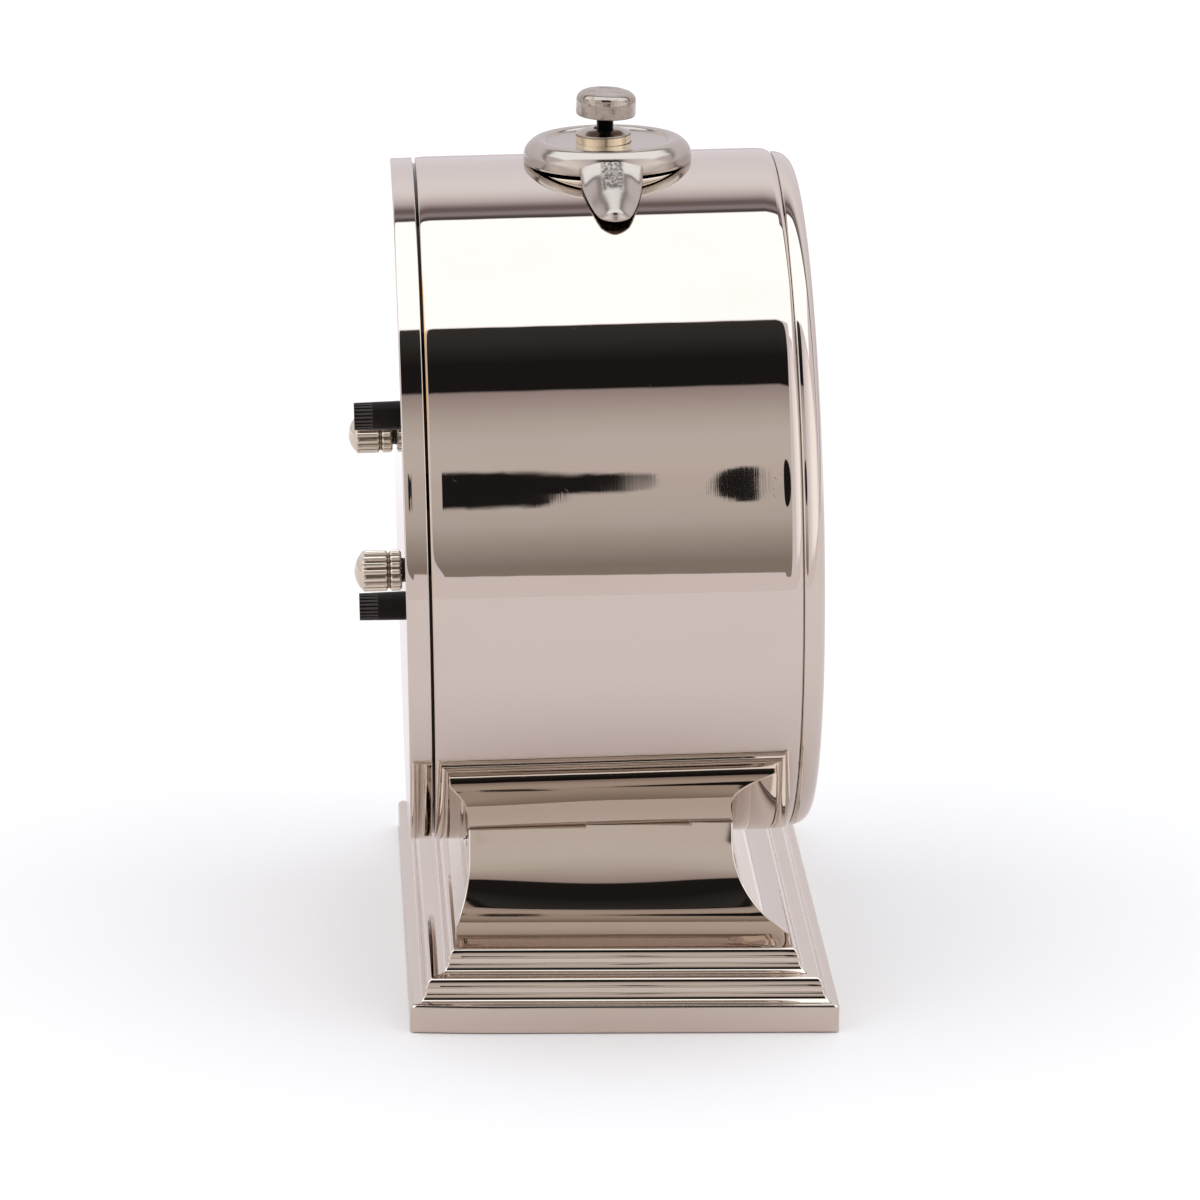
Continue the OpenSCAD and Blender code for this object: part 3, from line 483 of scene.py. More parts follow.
moulded("movement_plastic", (0.03, 0.03, 0.032), "movement_case")
moulded("movement_cover_plastic", (0.30, 0.31, 0.32), "movement_cover")
moulded("sounder_plastic", (0.022, 0.022, 0.024), "buzzer")
turned_brass("brass_bush", "center_bush", "bush_nut")
steel("spring_contacts", "battery_contacts")
CELL_LOW, CELL_BAND, CELL_HIGH, CELL_BLUE = 71.5, 86.0, 118.6, (0.16, 0.24, 0.36)
jacket = painted("cell_jacket_paint", CELL_BLUE, "battery")
cell_end = 1.0 - jacket.across("Z").between(CELL_LOW, CELL_HIGH, 0.3)
band = jacket.across("Z").between(CELL_LOW, CELL_BAND, 0.2)
jacket.give("Metallic", cell_end)
jacket.give("Base Color", jacket.mix(cell_end, jacket.mix(band, CELL_BLUE, (0.5, 0.47, 0.4)),
                                     (0.6, 0.6, 0.6)))

# Base. One brass casting with a plinth, two moulded tiers and a hollow-sided pedestal whose top is
# fitted to the drum. The mouldings run round all four sides and meet in mitred corners. The wheel
# has softened every edge, and left the hollow of each end a little fuller in its middle.
HALF_L, HALF_W, CORNER = 66.2, 43.2, 0.45
COVE, OVOLO, OVOLO_H, LEDGE = 2.4, 2.7, 2.25, 0.55
TIER_H = COVE + OVOLO_H
TIER_IN = LEDGE + COVE + OVOLO - sqrt(OVOLO ** 2 - OVOLO_H ** 2) + 0.5
PLINTH = 5.9
TIERS_TOP, PEDESTAL_IN = PLINTH + 2 * TIER_H, 2 * TIER_IN

# The pedestal's ends go from a tight hollow into a wide one, and on straight where they are steep.
# Its long sides are each one hollow: how far out its centre lies, its height and its radius.
TIGHT_R, WIDE_R, MEET_AT, STEEPEST = 14.6, 39.0, 48.0, 68.0
FRONT_HOLLOW, REAR_HOLLOW = (39.3, 31.4, 16.2), (56.5, 28.6, 25.5)
FULLER, WORN_CORNER = 0.72, 0.9
CORNER_STEPS, END_STEPS, LONG_STEPS = 6, 26, 8

moulding = Outline(0, 0.3).to(0, PLINTH - 0.4, 0.3).to(0.4, PLINTH, 0.25)
for tier in range(2):
    inside, foot = tier * TIER_IN, PLINTH + tier * TIER_H
    for step in range(17):
        turn = pi / 2 * step / 16
        moulding.to(inside + LEDGE + COVE * sin(turn), foot + COVE * (1 - cos(turn)))
    for step in range(1, 17):
        rise = OVOLO_H * step / 16
        back = OVOLO - sqrt(OVOLO ** 2 - rise ** 2)
        moulding.to(inside + LEDGE + COVE + back, foot + COVE + rise, 0.35 if step == 16 else 0)
meet = radians(MEET_AT)
for step in range(29):
    turn = meet * step / 28
    moulding.to(PEDESTAL_IN + TIGHT_R * sin(turn), TIERS_TOP + TIGHT_R * (1 - cos(turn)))
wide_x = PEDESTAL_IN - (WIDE_R - TIGHT_R) * sin(meet)
wide_z = TIERS_TOP + TIGHT_R + (WIDE_R - TIGHT_R) * cos(meet)
for step in range(1, 33):
    turn = radians(min(MEET_AT + step, STEEPEST))
    beyond = max(0, MEET_AT + step - STEEPEST) * 0.68
    moulding.to(wide_x + WIDE_R * sin(turn) + beyond * cos(turn),
                wide_z - WIDE_R * cos(turn) + beyond * sin(turn))
moulding.ease()
levels, spot, link = [], moulding.first, None
while spot:
    levels.append((spot.co.x, spot.co.z))
    link = next((other for other in spot.link_edges if other is not link), None)
    spot = link.other_vert(spot) if link else None

base_bm = bmesh.new()
order = base_bm.verts.layers.int.new("order")
circle = bmesh.ops.create_circle(base_bm, cap_ends=True, radius=1,
                                 segments=4 * CORNER_STEPS + 2 * END_STEPS + 2 * LONG_STEPS)
for index, vert in enumerate(circle["verts"]):
    vert[order] = index
bottom = top = base_bm.faces[:][0]


def place_on_level(index, half_x, front, rear, corner, height, fuller, worn):
    """Where a point of one level lies, counted round the base from its rear corner on +X.

    fuller raises the middle of an end, and worn takes back the plinth's rear corner on -X.
    """
    height -= fuller
    for start, sx, sy, side in ((0, 1, 1, LONG_STEPS), (90, -1, 1, END_STEPS),
                                (180, -1, -1, LONG_STEPS), (270, 1, -1, END_STEPS)):
        if index < CORNER_STEPS:
            turn = radians(start + 90 * index / (CORNER_STEPS - 1))
            x = sx * (half_x - corner) + corner * cos(turn)
            y = sy * ((rear if sy > 0 else front) - corner) + corner * sin(turn)
            break
        index -= CORNER_STEPS
        if index < side:
            share = (index + 1) / (side + 1)
            if side == LONG_STEPS:
                x, y = sx * (half_x - corner) * (1 - 2 * share), rear if sy > 0 else -front
            else:
                share = share if sy > 0 else 1 - share
                x, y = sx * half_x, (rear - corner) * (1 - share) - (front - corner) * share
                height += fuller * (1 - (2 * share - 1) ** 2)
            break
        index -= side
    if x < 0 and y > 24:
        x += worn * ((y - 24) / 19.2) ** 2
    return x, y, height


def hollow_side(height, out, middle, radius):
    """How far out a hollow long side of the pedestal lies at one height."""
    below = max(0, middle - height)
    return min(HALF_W - PEDESTAL_IN, out - sqrt(max(0, radius ** 2 - below ** 2)))


def set_level(sides, height):
    """Puts the top face on one level: how far in from the plinth's sides, and how high."""
    front = rear = HALF_W - sides
    fuller = 0
    if sides > PEDESTAL_IN + 0.001:
        rise = height - TIERS_TOP
        share = max(0, min(1, (rise - 3.5) / 8))
        fuller = max(0, FULLER * share ** 2 * (3 - 2 * share) - 0.04 * max(0, rise - 11.5))
        front = hollow_side(height - fuller, *FRONT_HOLLOW)
        rear = hollow_side(height - fuller, *REAR_HOLLOW)
    for vert in top.verts:
        vert.co = place_on_level(vert[order], HALF_L - sides, front, rear,
                                 2 * CORNER if height < PLINTH else CORNER, height, fuller,
                                 WORN_CORNER if height < PLINTH + 0.1 else 0)


set_level(*levels[0])
for level in levels[1:]:
    grown = bmesh.ops.extrude_face_region(base_bm, geom=[top])
    if top is not bottom:
        bmesh.ops.delete(base_bm, geom=[top], context="FACES_ONLY")
    top = next(item for item in grown["geom"] if isinstance(item, bmesh.types.BMFace))
    set_level(*level)

base = finished("base", base_bm, Matrix.Scale(0.001, 4), crease=26)
cut(base, peg(DRUM_R + 0.06, -60, 60, steps=512))
on_body(base, "case", "nickel", "base_casting")
plated("nickel_base", (500, 120, 700), (0, 0, 0), ripple=0.8,
       tint=(0.66, 0.585, 0.52)).lies_on(base)

felt = Finish("pressed_felt", (0.02, 0.022, 0.022), 0.95, Sheen_Weight=0.4)
fibres = felt.noise(felt.where((1, 1, 1)), 2600.0, 4.0, 0.7)
felt.give("Base Color", felt.mix(fibres.fade(0.3, 0.7), (0.012, 0.013, 0.013),
                                 (0.045, 0.048, 0.046)))
felt.relief((1.2e-4, fibres))
felt.dresses("felt_pad")
steel("steel_screws", "base_screws")
turned_brass("brass_nuts", "base_nuts")

# Thumb nuts. Two brass nuts with a domed end, round-ended flutes and a ring groove, turned, plated
# and left softer than the drum. They screw onto the studs and hold the rear cover.
NUT_TIP, NUT_FOOT, NUT_R, NUT_DOME, FLUTE_DEPTH = -51.35, -41.95, 4.1, 1.9, 0.58
STUD_HOLE_R, SHADE_DISC_FRONT = 1.56, -41.47


def fluted(outline, name, place, count, depth, low, high, ends, body_r, blunt):
    """Spins a piece and presses its flutes in between two heights, rounded off at both ends."""
    piece = outline.spun(name, Matrix.Identity(4), count * 14)
    for vert in piece.data.vertices:
        radius = sqrt(vert.co.x ** 2 + vert.co.y ** 2)
        if radius < body_r * 0.6:
            continue
        inside = max(0, min(1, (vert.co.z - low) / ends[0], (high - vert.co.z) / ends[1]))
        turn = Vector((vert.co.x, vert.co.y)).angle_signed(Vector((1, 0)), 0)
        valley = max(0, 1 - abs(sin(turn * count / 2)) * 1.08) ** blunt
        shrink = 1 - depth * valley * sqrt(inside * (2 - inside)) / radius
        vert.co.x, vert.co.y = vert.co.x * shrink, vert.co.y * shrink
    piece.data.transform(place)
    return piece


def dirt_between(made, x):
    """Darkens the valleys of the flutes towards brown, and not the dome."""
    valley = 1.0 - from_line(made, x, 0).fade(NUT_R - 0.44, NUT_R - 0.18)
    return valley * in_head(made, "Z").fade(NUT_TIP + 1.85, NUT_TIP + 2.25) * 0.75


def thumb_nut(name, x, body, node):
    dome = (NUT_R ** 2 + NUT_DOME ** 2) / (2 * NUT_DOME)
    outline = Outline(0, NUT_TIP)
    outline.arc(0, NUT_TIP + dome, -degrees(acos((dome - NUT_DOME) / dome)), 18)
    for height in (-49.2, -49.0, -48.8, -48.5, -48.1, -47.5, -46.9, -46.3, -45.8, -45.5, -45.3,
                   -45.15):
        outline.to(NUT_R, height)
    outline.to(NUT_R - 0.12, -44.95, 0.1).to(NUT_R - 0.55, -44.7, 0.08)
    outline.to(NUT_R - 0.55, -44.4, 0.08).to(NUT_R - 0.12, -44.15, 0.1)
    for height in (-43.95, -43.8, -43.5, -43.1, -42.8, -42.6, -42.45):
        outline.to(NUT_R, height)
    outline.to(NUT_R - 0.55, NUT_FOOT, 0.15).to(STUD_HOLE_R, NUT_FOOT)
    outline.to(STUD_HOLE_R, NUT_TIP + 2.2).to(0, NUT_TIP + 2.2)
    piece = fluted(outline, name, HEAD @ Matrix.Translation((x, 0, 0)), 16, FLUTE_DEPTH,
                   NUT_TIP + 1.75, NUT_FOOT + 0.1, (0.9, 0.35), NUT_R, 1.0)
    on_body(piece, body, "nickel", node)
    plated("nickel_" + name, (160, 160, 400), roughness=0.17, ripple=3.0, tint=(0.70, 0.63, 0.54),
           worn=lambda made: dirt_between(made, x), wear_and_shade_colour=(0.16, 0.11, 0.07)).lies_on(piece)
    # A near-black disc fills the gap between the nut's foot and the cover, where there is only
    # shade: a dark piece standing in for painted shade.
    shade_disc = (Outline(STUD_HOLE_R, SHADE_DISC_FRONT).to(2.4, SHADE_DISC_FRONT, 0.1)
              .to(2.4, NUT_FOOT + 0.02, 0.1).to(STUD_HOLE_R, NUT_FOOT + 0.02).close()
              .spun(name + "_washer", HEAD @ Matrix.Translation((x, 0, 0)), 64))
    on_body(shade_disc, "case", "rubber")
    soft_black("rubber_" + name).lies_on(shade_disc)


thumb_nut("nut_nine_side", -53, "nut_left", "thumb_nut_left")
thumb_nut("nut_three_side", 53, "nut_right", "thumb_nut_right")
steel("steel_studs", "cover_studs")

# Setting knobs. Two black plastic sleeves pressed on the movement's shafts, a little tapered, with
# fine flutes round the outer end to grip.
KNOB_TIP, KNOB_FOOT, KNOB_TIP_R, KNOB_FLUTES, SHAFT_R = -50.35, -39.05, 2.8, 3.8, 1.0


def black_plastic(name, y):
    """Dull black plastic, with the crests of its flutes painted pale as a highlight."""
    made = Finish(name, (0.006, 0.0055, 0.0055), 0.34, Specular_IOR_Level=0.13,
                  Specular_Tint=(1, 0.85, 0.76, 1))
    flutes_end = KNOB_TIP + KNOB_FLUTES
    # crest paints a pale line along each flute's crest all round: a painted highlight.
    crest = (from_line(made, KNOB_X, y).fade(KNOB_TIP_R - 0.08, KNOB_TIP_R + 0.02)
             * (1.0 - in_head(made, "Z").fade(flutes_end - 0.15, flutes_end + 0.05)))
    grain = made.noise(made.where(), 5200.0, 2.0)
    rub = made.noise(made.where(), 420.0, 3.0)
    black = made.mix(rub.fade(0.45, 0.8), (0.005, 0.0045, 0.0045), (0.011, 0.0105, 0.0105))
    made.give("Base Color", made.mix(crest * 0.75, black, (0.085, 0.08, 0.077)))
    made.give("Roughness", rub * 0.16 + grain * 0.1 + 0.28)
    made.relief((6e-6, grain), (1.2e-5, rub))
    return made


def setting_knob(name, y, body, node):
    outline = Outline(0, KNOB_TIP + 0.5).to(1.15, KNOB_TIP + 0.5).to(1.15, KNOB_TIP)
    outline.to(KNOB_TIP_R, KNOB_TIP, 0.14)
    for height in (0.3, 0.5, 1.2, 2.0, 2.8, 3.4, 3.66):
        outline.to(KNOB_TIP_R + height * 0.0177, KNOB_TIP + height)
    outline.to(KNOB_TIP_R + 0.07, KNOB_TIP + KNOB_FLUTES)
    outline.to(KNOB_TIP_R + 0.09, KNOB_TIP + KNOB_FLUTES + 0.06).to(3.0, KNOB_FOOT, 0.2)
    outline.to(SHAFT_R, KNOB_FOOT).to(SHAFT_R, KNOB_TIP + 2.5).to(0, KNOB_TIP + 2.5)
    piece = fluted(outline, name, HEAD @ Matrix.Translation((KNOB_X, y, 0)), 22, 0.32,
                   KNOB_TIP - 0.2, KNOB_TIP + KNOB_FLUTES, (0.2, 0.12), KNOB_TIP_R, 1.6)
    on_body(piece, body, "knob_black", node)
    black_plastic("plastic_" + name, y).lies_on(piece)


setting_knob("knob_for_time", TIME_Y, "time_set", "time_knob")
setting_knob("knob_for_alarm", ALARM_Y, "alarm_set", "alarm_knob")
steel("steel_shafts", "time_shaft", "alarm_shaft")

# Saddle. The low boss between the drum and the lever ring, turned to the ring's size and cut below
# to the drum's curve. Its plating is thin, so brass shows through.
ALONG_BUTTON = (radians(LEAN), 0, 0)
SADDLE_R, SADDLE_TOP = 16.9, 69.9

saddle = (Outline(BUTTON_HOLE, 64.0).to(SADDLE_R, 64.0).to(SADDLE_R, SADDLE_TOP - 0.2, 0.35)
          .to(SADDLE_R - 0.9, SADDLE_TOP).to(BUTTON_HOLE, SADDLE_TOP).close()
          .spun("saddle_boss", TOP, 192))
cut(saddle, peg(DRUM_R + 0.02, -60, 60, steps=512))
on_body(saddle, "case", "nickel", "button_saddle")
plated("nickel_saddle", (300, 300, 900), ALONG_BUTTON, tint=(0.66, 0.585, 0.50),
       roughness=0.09).lies_on(saddle)

# Lever ring. A cast ring with a rounded rim and a shallow dish, and a faceted tongue that hangs
# over the drum's side. The rim is polished by hand; the middle of the tongue keeps its sandy cast
# skin above a bright rubbed patch.
RING_TOP, RING_FOOT, RING_R, RING_HOLE, DISH_R = 74.85, 70.0, 17.1, 4.95, 12.2


def tilted(place, at, turn, axis):
    """A place turned a little about one point."""
    at = Vector(at)
    return (place @ Matrix.Translation(at) @ Matrix.Rotation(radians(turn), 4, axis)
            @ Matrix.Translation(-at))


LEVER = tilted(TOP, (0, 0, DRUM_R), 0.5, "X")
LOOSE = tilted(LEVER, (17, 0, DRUM_R), 0.8, "Y")

ring = (Outline(RING_HOLE, RING_FOOT).to(RING_R - 0.3, RING_FOOT, 0.2)
        .to(RING_R, RING_FOOT + 0.5, 0.5).to(RING_R, RING_TOP - 3.0)
        .to(RING_R - 0.35, RING_TOP - 1.7, 3).to(RING_R - 1.9, RING_TOP - 0.25, 1.6)
        .to(DISH_R + 1.8, RING_TOP, 2.0).to(DISH_R + 0.6, RING_TOP - 0.15, 0.8)
        .to(DISH_R, RING_TOP - 0.62, 0.6).to(RING_HOLE + 1.8, RING_TOP - 0.8, 1.5)
        .to(RING_HOLE, RING_TOP - 0.8).close().spun("lever_ring_rim", LOOSE, 256))
on_body(ring, "lever", "nickel", "lever_ring")
plated("nickel_lever_ring", (260, 260, 260), ALONG_BUTTON, roughness=0.19, ripple=2.0,
       tint=(0.48, 0.43, 0.385)).lies_on(ring)

TONGUE_ROOT, TONGUE_TIP, TONGUE_TOP, TONGUE_HALF, CREST_HALF = -12.8, -31.9, 74.35, 6.45, 3.05
FALL, NOSE_R, NOSE_EDGE = 0.42, 2.2, 1.2


def tongue_section(x):
    """The tongue's corners at one station: (y, z, how far its corner is rounded back)."""
    past = max(0, -x - 14)
    nose = min(1, max(0, TONGUE_TIP + NOSE_R - x) / NOSE_R)
    root = max(0, 20.5 + x) ** 2
    half = (TONGUE_HALF - 0.0125 * past ** 2 + 0.01 * root) * sqrt(max(0.0006, 1 - nose ** 2))
    crest = min(CREST_HALF - 0.125 * max(0, past - 1), half * 0.5)
    over = max(0, TONGUE_TIP + NOSE_EDGE - x)
    height = (TONGUE_TOP + 0.12 * max(0, 19 + x) - FALL * past - 0.05 * max(0, past - 10)
              - NOSE_EDGE + sqrt(max(0, NOSE_EDGE ** 2 - over ** 2)))
    lift = 0.045 * max(0, -x - 26) ** 2
    rest = sqrt(DRUM_R ** 2 - x ** 2)
    brink = min(height - 0.05, rest + 0.75 + lift + 0.14 * root)
    under = min(brink - 0.1, rest + 0.6 + lift * 0.75)
    return [(-half * 0.93, under, 0.1), (-half, brink, 1.3), (-crest, height, 1.9),
            (crest, height, 1.9), (half, brink, 1.3), (half * 0.93, under, 0.1)]


def rounded_section(x):
    """The same corners, each turned into a short curve."""
    corners = tongue_section(x)
    curve = []
    for index, (y, z, reach) in enumerate(corners):
        here = Vector((y, z))
        before, after = Vector(corners[index - 1][:2]), Vector(corners[(index + 1) % 6][:2])
        start = here + (before - here) * min(0.45, reach / max(0.01, (before - here).length))
        end = here + (after - here) * min(0.45, reach / max(0.01, (after - here).length))
        for step in range(5):
            share = step / 4
            curve.append(start.lerp(here, share).lerp(here.lerp(end, share), share))
    return curve


tongue_bm = bmesh.new()
order = tongue_bm.verts.layers.int.new("order")
section = bmesh.ops.create_circle(tongue_bm, cap_ends=True, radius=1, segments=30)
for index, vert in enumerate(section["verts"]):
    vert[order] = index
root = end = tongue_bm.faces[:][0]
stations = [TONGUE_ROOT - step * 0.6 for step in range(28)]
stations += [TONGUE_TIP + 1.7 * (1 - sin(pi / 2 * step / 16)) for step in range(17)]
for station in sorted(set(stations), reverse=True):
    if station != TONGUE_ROOT:
        grown = bmesh.ops.extrude_face_region(tongue_bm, geom=[end])
        if end is not root:
            bmesh.ops.delete(tongue_bm, geom=[end], context="FACES_ONLY")
        end = next(item for item in grown["geom"] if isinstance(item, bmesh.types.BMFace))
    curve = rounded_section(station)
    for vert in end.verts:
        vert.co = (station, curve[vert[order]].x, curve[vert[order]].y)
tongue = finished("lever_tongue", tongue_bm, LEVER, crease=60)
on_body(tongue, "lever", "nickel")
TONGUE_NICKEL = (0.47, 0.42, 0.38)
tongue_finish = Finish("nickel_lever_tongue", TONGUE_NICKEL, 0.16, 1.0)
side = (tongue_finish.across("Y") - 2.65).math("ABSOLUTE")
sandy = (1.0 - side.fade(1.7, 2.6)) * tongue_finish.across("X").fade(-25.2, -23.8)
grit = tongue_finish.noise(tongue_finish.where(), 1500.0, 3.0, 0.7)
tongue_finish.give("Base Color", tongue_finish.mix(sandy * grit.fade(0.42, 0.56), TONGUE_NICKEL,
                                                   (0.17, 0.15, 0.14)))
tongue_finish.give("Roughness", sandy * grit * 0.5 + 0.18)
swell = tongue_finish.noise(tongue_finish.where(), 95.0, 1.0)
tongue_finish.relief((4.5e-5, grit * (sandy * 0.94 + 0.06)), (2.5e-5, swell))
tongue_finish.lies_on(tongue)

# Button collar. A turned brass collar with a countersunk mouth, thinly plated: only its rim still
# looks like nickel. A barrel below it goes through the drum, with a nut and the switch's strip.
COLLAR = TOP @ Matrix.Translation((0, 0.75, 0))
BARREL_R, BARREL_IN, BARREL_END = 4.05, 3.1, 66.0
COLLAR_R, COLLAR_FOOT, COLLAR_RIM, COLLAR_TOP, COLLAR_MOUTH = 5.65, 74.4, 76.3, 77.2, 1.95

collar = (Outline(BARREL_IN, BARREL_END).to(BARREL_R, BARREL_END).to(BARREL_R, COLLAR_FOOT)
          .to(COLLAR_R - 0.05, COLLAR_FOOT).to(COLLAR_R, COLLAR_RIM - 0.35)
          .to(COLLAR_R, COLLAR_RIM, 0.12).to(COLLAR_R - 0.55, COLLAR_RIM + 0.1, 0.3)
          .to(3.7, COLLAR_TOP - 0.25, 3).to(COLLAR_MOUTH, COLLAR_TOP, 0.15)
          .to(COLLAR_MOUTH, COLLAR_FOOT + 0.6).to(BARREL_IN, COLLAR_FOOT + 0.6).close()
          .spun("collar_ring", COLLAR, 192))
on_body(collar, "case", "collar_brass", "button_collar")


def rim_and_mouth(made):
    """1 on the collar's rim and in its mouth, where the nickel is left and has gone dull."""
    return made.across("Z", ALONG_BUTTON).fade(170.45, 170.65)


plated("brass_collar", (900, 900, 300), ALONG_BUTTON, tint=(1.0, 0.88, 0.66), roughness=0.2,
       ripple=3.0, worn=rim_and_mouth, wear_and_shade_colour=(0.42, 0.365, 0.32)).lies_on(collar)
turned_brass("brass_barrel_nut", "barrel_nut")
steel("steel_bracket", "switch_bracket")
moulded("switch_plastic", (0.025, 0.025, 0.027), "stop_switch")

# Push button. A loose plated cap with a rounded shoulder and a small flat top, on a blackened
# threaded neck that runs down to the stop switch. Fingers have left the cap duller than the drum.
BUTTON = TOP @ Matrix.Translation((0, 0.35, 0))
CAP_FOOT, CAP_TOP, CAP_R = 79.95, 84.75, 6.12
NECK_R, STEM_R, STEM_END, SHOULDER, THREAD_FOOT, PITCH = 1.75, 1.2, 58.0, 72.2, 74.6, 0.28
CAP = tilted(TOP @ Matrix.Translation((0, 0.2, 0)), (0, 0, CAP_FOOT), -1.7, "Y")
CAP = tilted(CAP, (0, 0, CAP_FOOT), 3.2, "X")

cap = (Outline(1.7, CAP_FOOT + 0.5).to(5.2, CAP_FOOT + 0.5).to(5.5, CAP_FOOT, 0.1)
       .to(CAP_R - 0.02, CAP_FOOT, 0.3).to(CAP_R, CAP_TOP - 0.05, 1.9).to(3.6, CAP_TOP, 0.3)
       .to(0, CAP_TOP - 0.1).spun("button_cap", CAP, 192))
on_body(cap, "button", "nickel", "button_head")
plated("nickel_button_cap", (420, 420, 420), ALONG_BUTTON, roughness=0.1, ripple=4.0,
       tint=(0.43, 0.375, 0.33), wear_and_shade_colour=(0.20, 0.155, 0.115),
       worn=lambda made: made.noise(made.where(), 420.0, 4.0, 0.7).fade(0.46, 0.68) * 0.75
       ).lies_on(cap)

neck = Outline(0, STEM_END).to(STEM_R, STEM_END, 0.2).to(STEM_R, SHOULDER).to(2.9, SHOULDER)
neck.to(2.9, SHOULDER + 0.7).to(NECK_R - 0.05, SHOULDER + 0.7)
for turn in range(21):
    crest = THREAD_FOOT + turn * PITCH
    neck.to(NECK_R, crest).to(NECK_R - 0.25, crest + PITCH / 2)
neck.to(NECK_R, CAP_FOOT + 0.5).to(NECK_R - 0.05, CAP_FOOT + 1.25).to(0, CAP_FOOT + 1.25)
stem = neck.spun("button_neck", BUTTON, 96)
on_body(stem, "button", "blackened_steel", "button_stem")
blackened = Finish("blackened_neck", (0.012, 0.011, 0.01), 0.4, 0.4)
rubbed = blackened.noise(blackened.where(), 900.0).fade(0.45, 0.7)
blackened.give("Base Color", blackened.mix(rubbed, (0.008, 0.007, 0.007), (0.028, 0.023, 0.02)))
blackened.relief((2e-5, blackened.noise(blackened.where(), 2400.0)))
blackened.lies_on(stem)
steel("spring_wire", "button_spring", "button_clip")

# Studio. The clock stands on a pale table in a white light tent: one broad soft light overhead, a
# lit wall on either hand, and an opening in front through which the dark room shows.
lamp_world = bpy.data.worlds.new("tent")
bpy.context.scene.world = lamp_world
lamp_world.use_nodes = True


class Tent(Finish):
    """The world's nodes, built with the same arithmetic as the materials."""

    def __init__(self, world):
        self.tree = world.node_tree
        self.shader = self.tree.nodes["Background"]

    def by_angle(self, angle, stops):
        """Colours along an angle in degrees."""
        low, high = stops[0][0], stops[-1][0]
        placed = [((at - low) / (high - low), colour) for at, colour in stops]
        share = (angle - low) / (high - low)
        return self.node("ShaderNodeValToRGB", {"stops": placed}, {"Fac": share})


tent = Tent(lamp_world)
look = tent.node("ShaderNodeTexCoord", output="Generated")
x, y, z = (tent.node("ShaderNodeSeparateXYZ", None, {"Vector": look}, output=axis)
           for axis in "XYZ")
rise = z.math("ARCTAN2", x * -1.0) * (180 / pi)
aside = y / ((x * x + z * z).math("SQRT") + 1e-4)
off = aside.math("ABSOLUTE")

# Behind and above the clock: table and wall, the far edge of the lamp's cloth, then the rear wall.
roof = tent.by_angle(rise, [
    (-90, (0.70, 0.63, 0.63)), (-75, (0.73, 0.66, 0.66)), (-65, (0.82, 0.745, 0.74)),
    (-57, (0.85, 0.78, 0.78)), (-50, (0.87, 0.80, 0.80)), (-12, (0.87, 0.80, 0.80)),
    (-8, (0.88, 0.83, 0.85)), (73, (0.88, 0.83, 0.86)), (121.2, (0.88, 0.83, 0.86)),
    (121.7, (0.07, 0.06, 0.06)), (122.6, (0.07, 0.06, 0.06)), (123.4, (0.33, 0.29, 0.31)),
    (125.2, (0.33, 0.29, 0.31)), (126.2, (0.19, 0.15, 0.16)), (127.8, (0.19, 0.15, 0.16)),
    (129.3, (0.36, 0.31, 0.31)), (131.8, (0.65, 0.59, 0.63)), (134.5, (0.80, 0.76, 0.77)),
    (137, (0.92, 0.88, 0.89)), (140, (0.97, 0.95, 0.97)), (146, (0.97, 0.95, 0.97)),
    (154, (0.91, 0.88, 0.92)), (163, (0.85, 0.82, 0.85)), (181, (0.82, 0.77, 0.83))])
# The lit walls on either hand, from the opening's edge outwards.
hand = tent.by_angle(off, [
    (0.2, (0.80, 0.75, 0.78)), (0.5, (1.0, 0.96, 0.98)), (1.0, (1.3, 1.26, 1.24)),
    (2.5, (1.36, 1.32, 1.3)), (6.0, (1.1, 1.06, 1.06))])
# What shows through the opening, from the table's edge up to the dark ceiling.
DARKNESS = (0.014, 0.013, 0.013)
room = tent.by_angle(rise, [
    (-12, (0.31, 0.26, 0.23)), (-8, (0.31, 0.26, 0.23)), (-6, (0.35, 0.30, 0.28)),
    (0, (0.47, 0.42, 0.385)), (6, (0.60, 0.556, 0.52)), (12.4, (0.64, 0.596, 0.557)),
    (19, (0.675, 0.604, 0.573)), (27, (0.71, 0.655, 0.626)), (33.5, (0.69, 0.645, 0.62)),
    (40, (0.61, 0.56, 0.52)), (47, (0.47, 0.40, 0.39)), (49.7, (0.40, 0.34, 0.33)),
    (50.4, DARKNESS), (60, DARKNESS), (68, (0.038, 0.036, 0.035)), (74, (0.045, 0.043, 0.042))])
streaks = tent.node("ShaderNodeCombineXYZ", None, {0: aside * 2600.0, 1: rise * 0.12})
ragged = tent.noise(streaks, 1.0, 2.0) - 0.5


def blot(low, high, foot, head, sharp, rag, fan=0.0):
    """A dark patch of the camera side: rounded at its ends, with ragged edges."""
    square = aside - (rise - 17.5) * 0.0005
    across = (square - (low + high) / 2) / ((high - low) / 2)
    along = (rise + ragged * rag - (foot + head) / 2) / ((head - foot) / 2) * (across * fan + 1.0)
    return 1.0 - (across.math("ABSOLUTE") ** sharp + along.math("ABSOLUTE") ** 2.4).fade(0.88, 1.12)


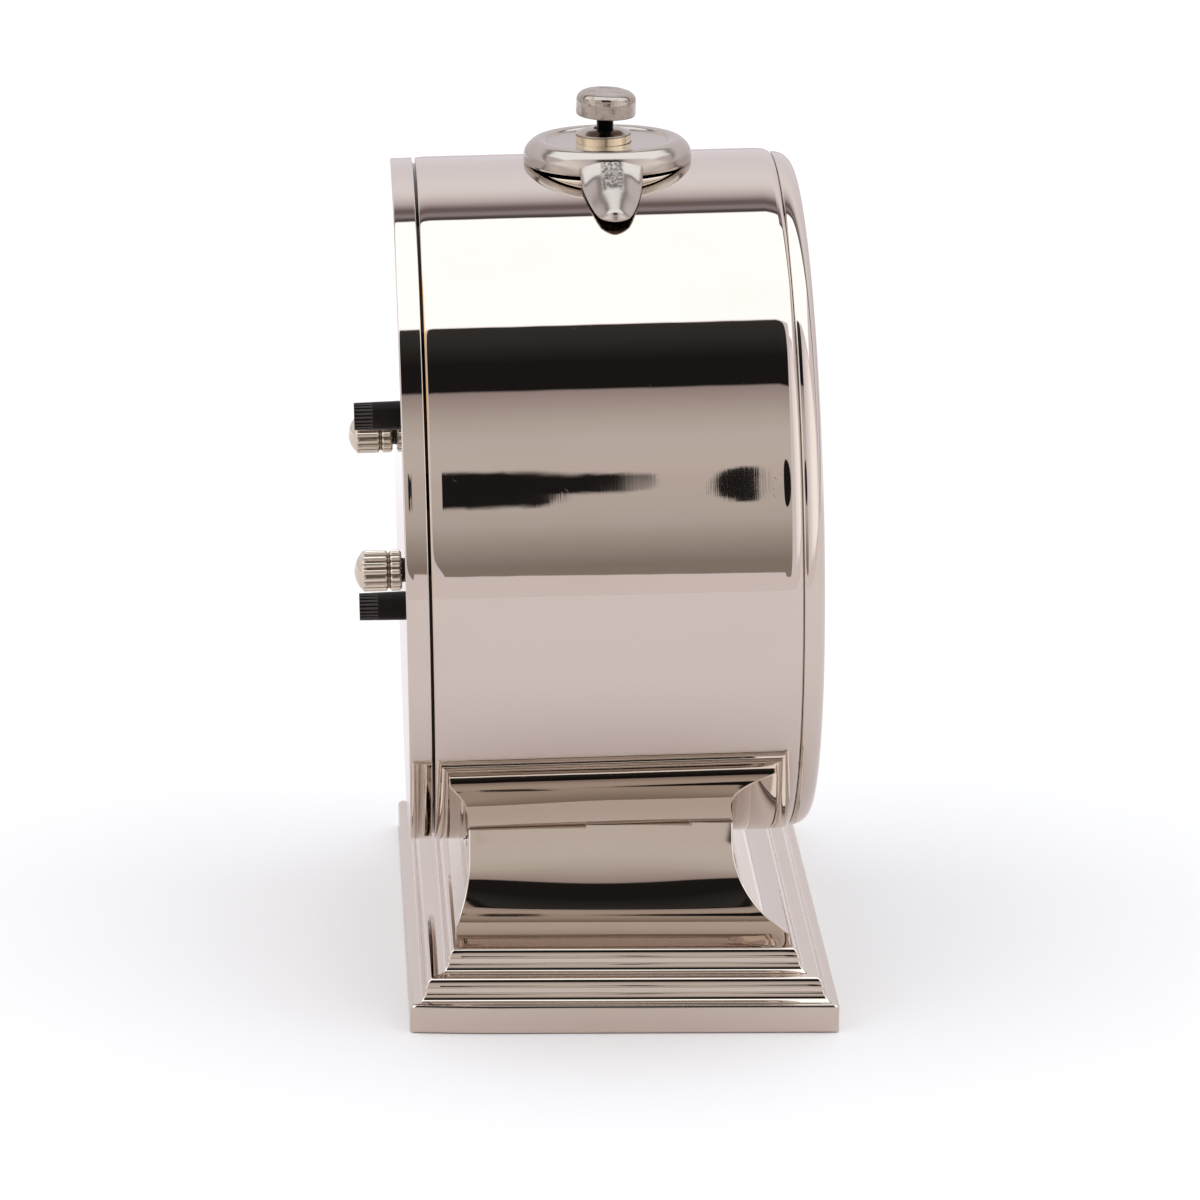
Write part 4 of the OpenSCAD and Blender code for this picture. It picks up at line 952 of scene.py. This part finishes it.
thin_end = 1.0 - off.fade(0.036, 0.0455) * 0.75
dark = (blot(-0.0292, -0.001, 11.6, 23.2, 14.0, 5.0, -0.08)
        .math("MAXIMUM", blot(-0.0445, -0.018, 15.6, 21.8, 5.0, 5.0) * thin_end)
        .math("MAXIMUM", blot(-0.0628, -0.0542, 11.7, 22.7, 3.0, 3.0, 0.15))
        .math("MAXIMUM", blot(-0.24, -0.075, 9.5, 25.0, 2.0, 0.0)))
room = tent.mix(dark, room, DARKNESS)
down = ((31.5 - rise) / 41.5).math("MAXIMUM", 0.0)
mouth_rise = ((rise - aside * down * 27.0 - 31.5) / 41.6).math("ABSOLUTE")
mouth = 1.0 - (mouth_rise ** 7.0 + (off / 0.256) ** 7.0).fade(0.97, 1.03)
LAMP_FOOT, LAMP_HEAD = 73.3, 121.2
light = rise.between(LAMP_FOOT, LAMP_HEAD, 0.4) * (1.0 - off.fade(1.1, 1.3))
wall = tent.mix(rise.between(-10.0, 70.0, 3.0), roof, hand)
wall = tent.mix(light, wall, (1.62, 1.70, 1.78))
wall = tent.mix(mouth * rise.between(-14.0, 73.2, 0.3), wall, room)


def seen_directly(made):
    """1 for what the camera sees itself or through glass."""
    rays = [made.node("ShaderNodeLightPath", output=kind)
            for kind in ("Is Camera Ray", "Is Transmission Ray")]
    return rays[0].math("MAXIMUM", rays[1])


tent.give("Color", tent.mix(seen_directly(tent), wall, (1, 1, 1)))

table_bm = bmesh.new()
bmesh.ops.create_circle(table_bm, cap_ends=True, radius=1.6, segments=96)
bmesh.ops.bisect_plane(table_bm, geom=table_bm.verts[:] + table_bm.edges[:] + table_bm.faces[:],
                       plane_co=(-0.35, 0, 0), plane_no=(-1, 0, 0), clear_outer=True)
table_mesh = bpy.data.meshes.new("table")
table_bm.to_mesh(table_mesh)
table = bpy.data.objects.new("table", table_mesh)
bpy.context.scene.collection.objects.link(table)
pale = Finish("pale_table", (0.8, 0.77, 0.77), 0.6, Specular_IOR_Level=0.1)
sweep = pale.mix(pale.across("X").fade(300, 420), (0.86, 0.805, 0.795), (0.98, 0.97, 0.98))
pale.give("Base Color", pale.mix(seen_directly(pale), sweep, (1, 1, 1)))
pale.lies_on(table)

# The camera stands where the photo's did: how far above the clock, aside and rolled, in degrees.
LIFT, SWING, ROLL = 16.38, 3.14, 0.869
camera = bpy.data.cameras.new("camera")
camera.sensor_width, camera.lens, camera.clip_start, camera.clip_end = 36, 182.917, 0.05, 10
eye = bpy.data.objects.new("camera", camera)
lift, swing, roll = radians(LIFT), radians(SWING), radians(ROLL)
ahead = Vector((cos(lift) * cos(swing), -cos(lift) * sin(swing), -sin(lift)))
level = ahead.cross((0, 0, 1)).normalized()
upright = level.cross(ahead)
right = level * cos(roll) + upright * sin(roll)
up = upright * cos(roll) - level * sin(roll)
eye.matrix_world = (Matrix.Translation((-1.21686, 0.06954, 0.42976))
                    @ Matrix((right, up, -ahead)).transposed().to_4x4())
bpy.context.scene.collection.objects.link(eye)
bpy.context.scene.camera = eye
bpy.context.scene.view_settings.view_transform = "Standard"
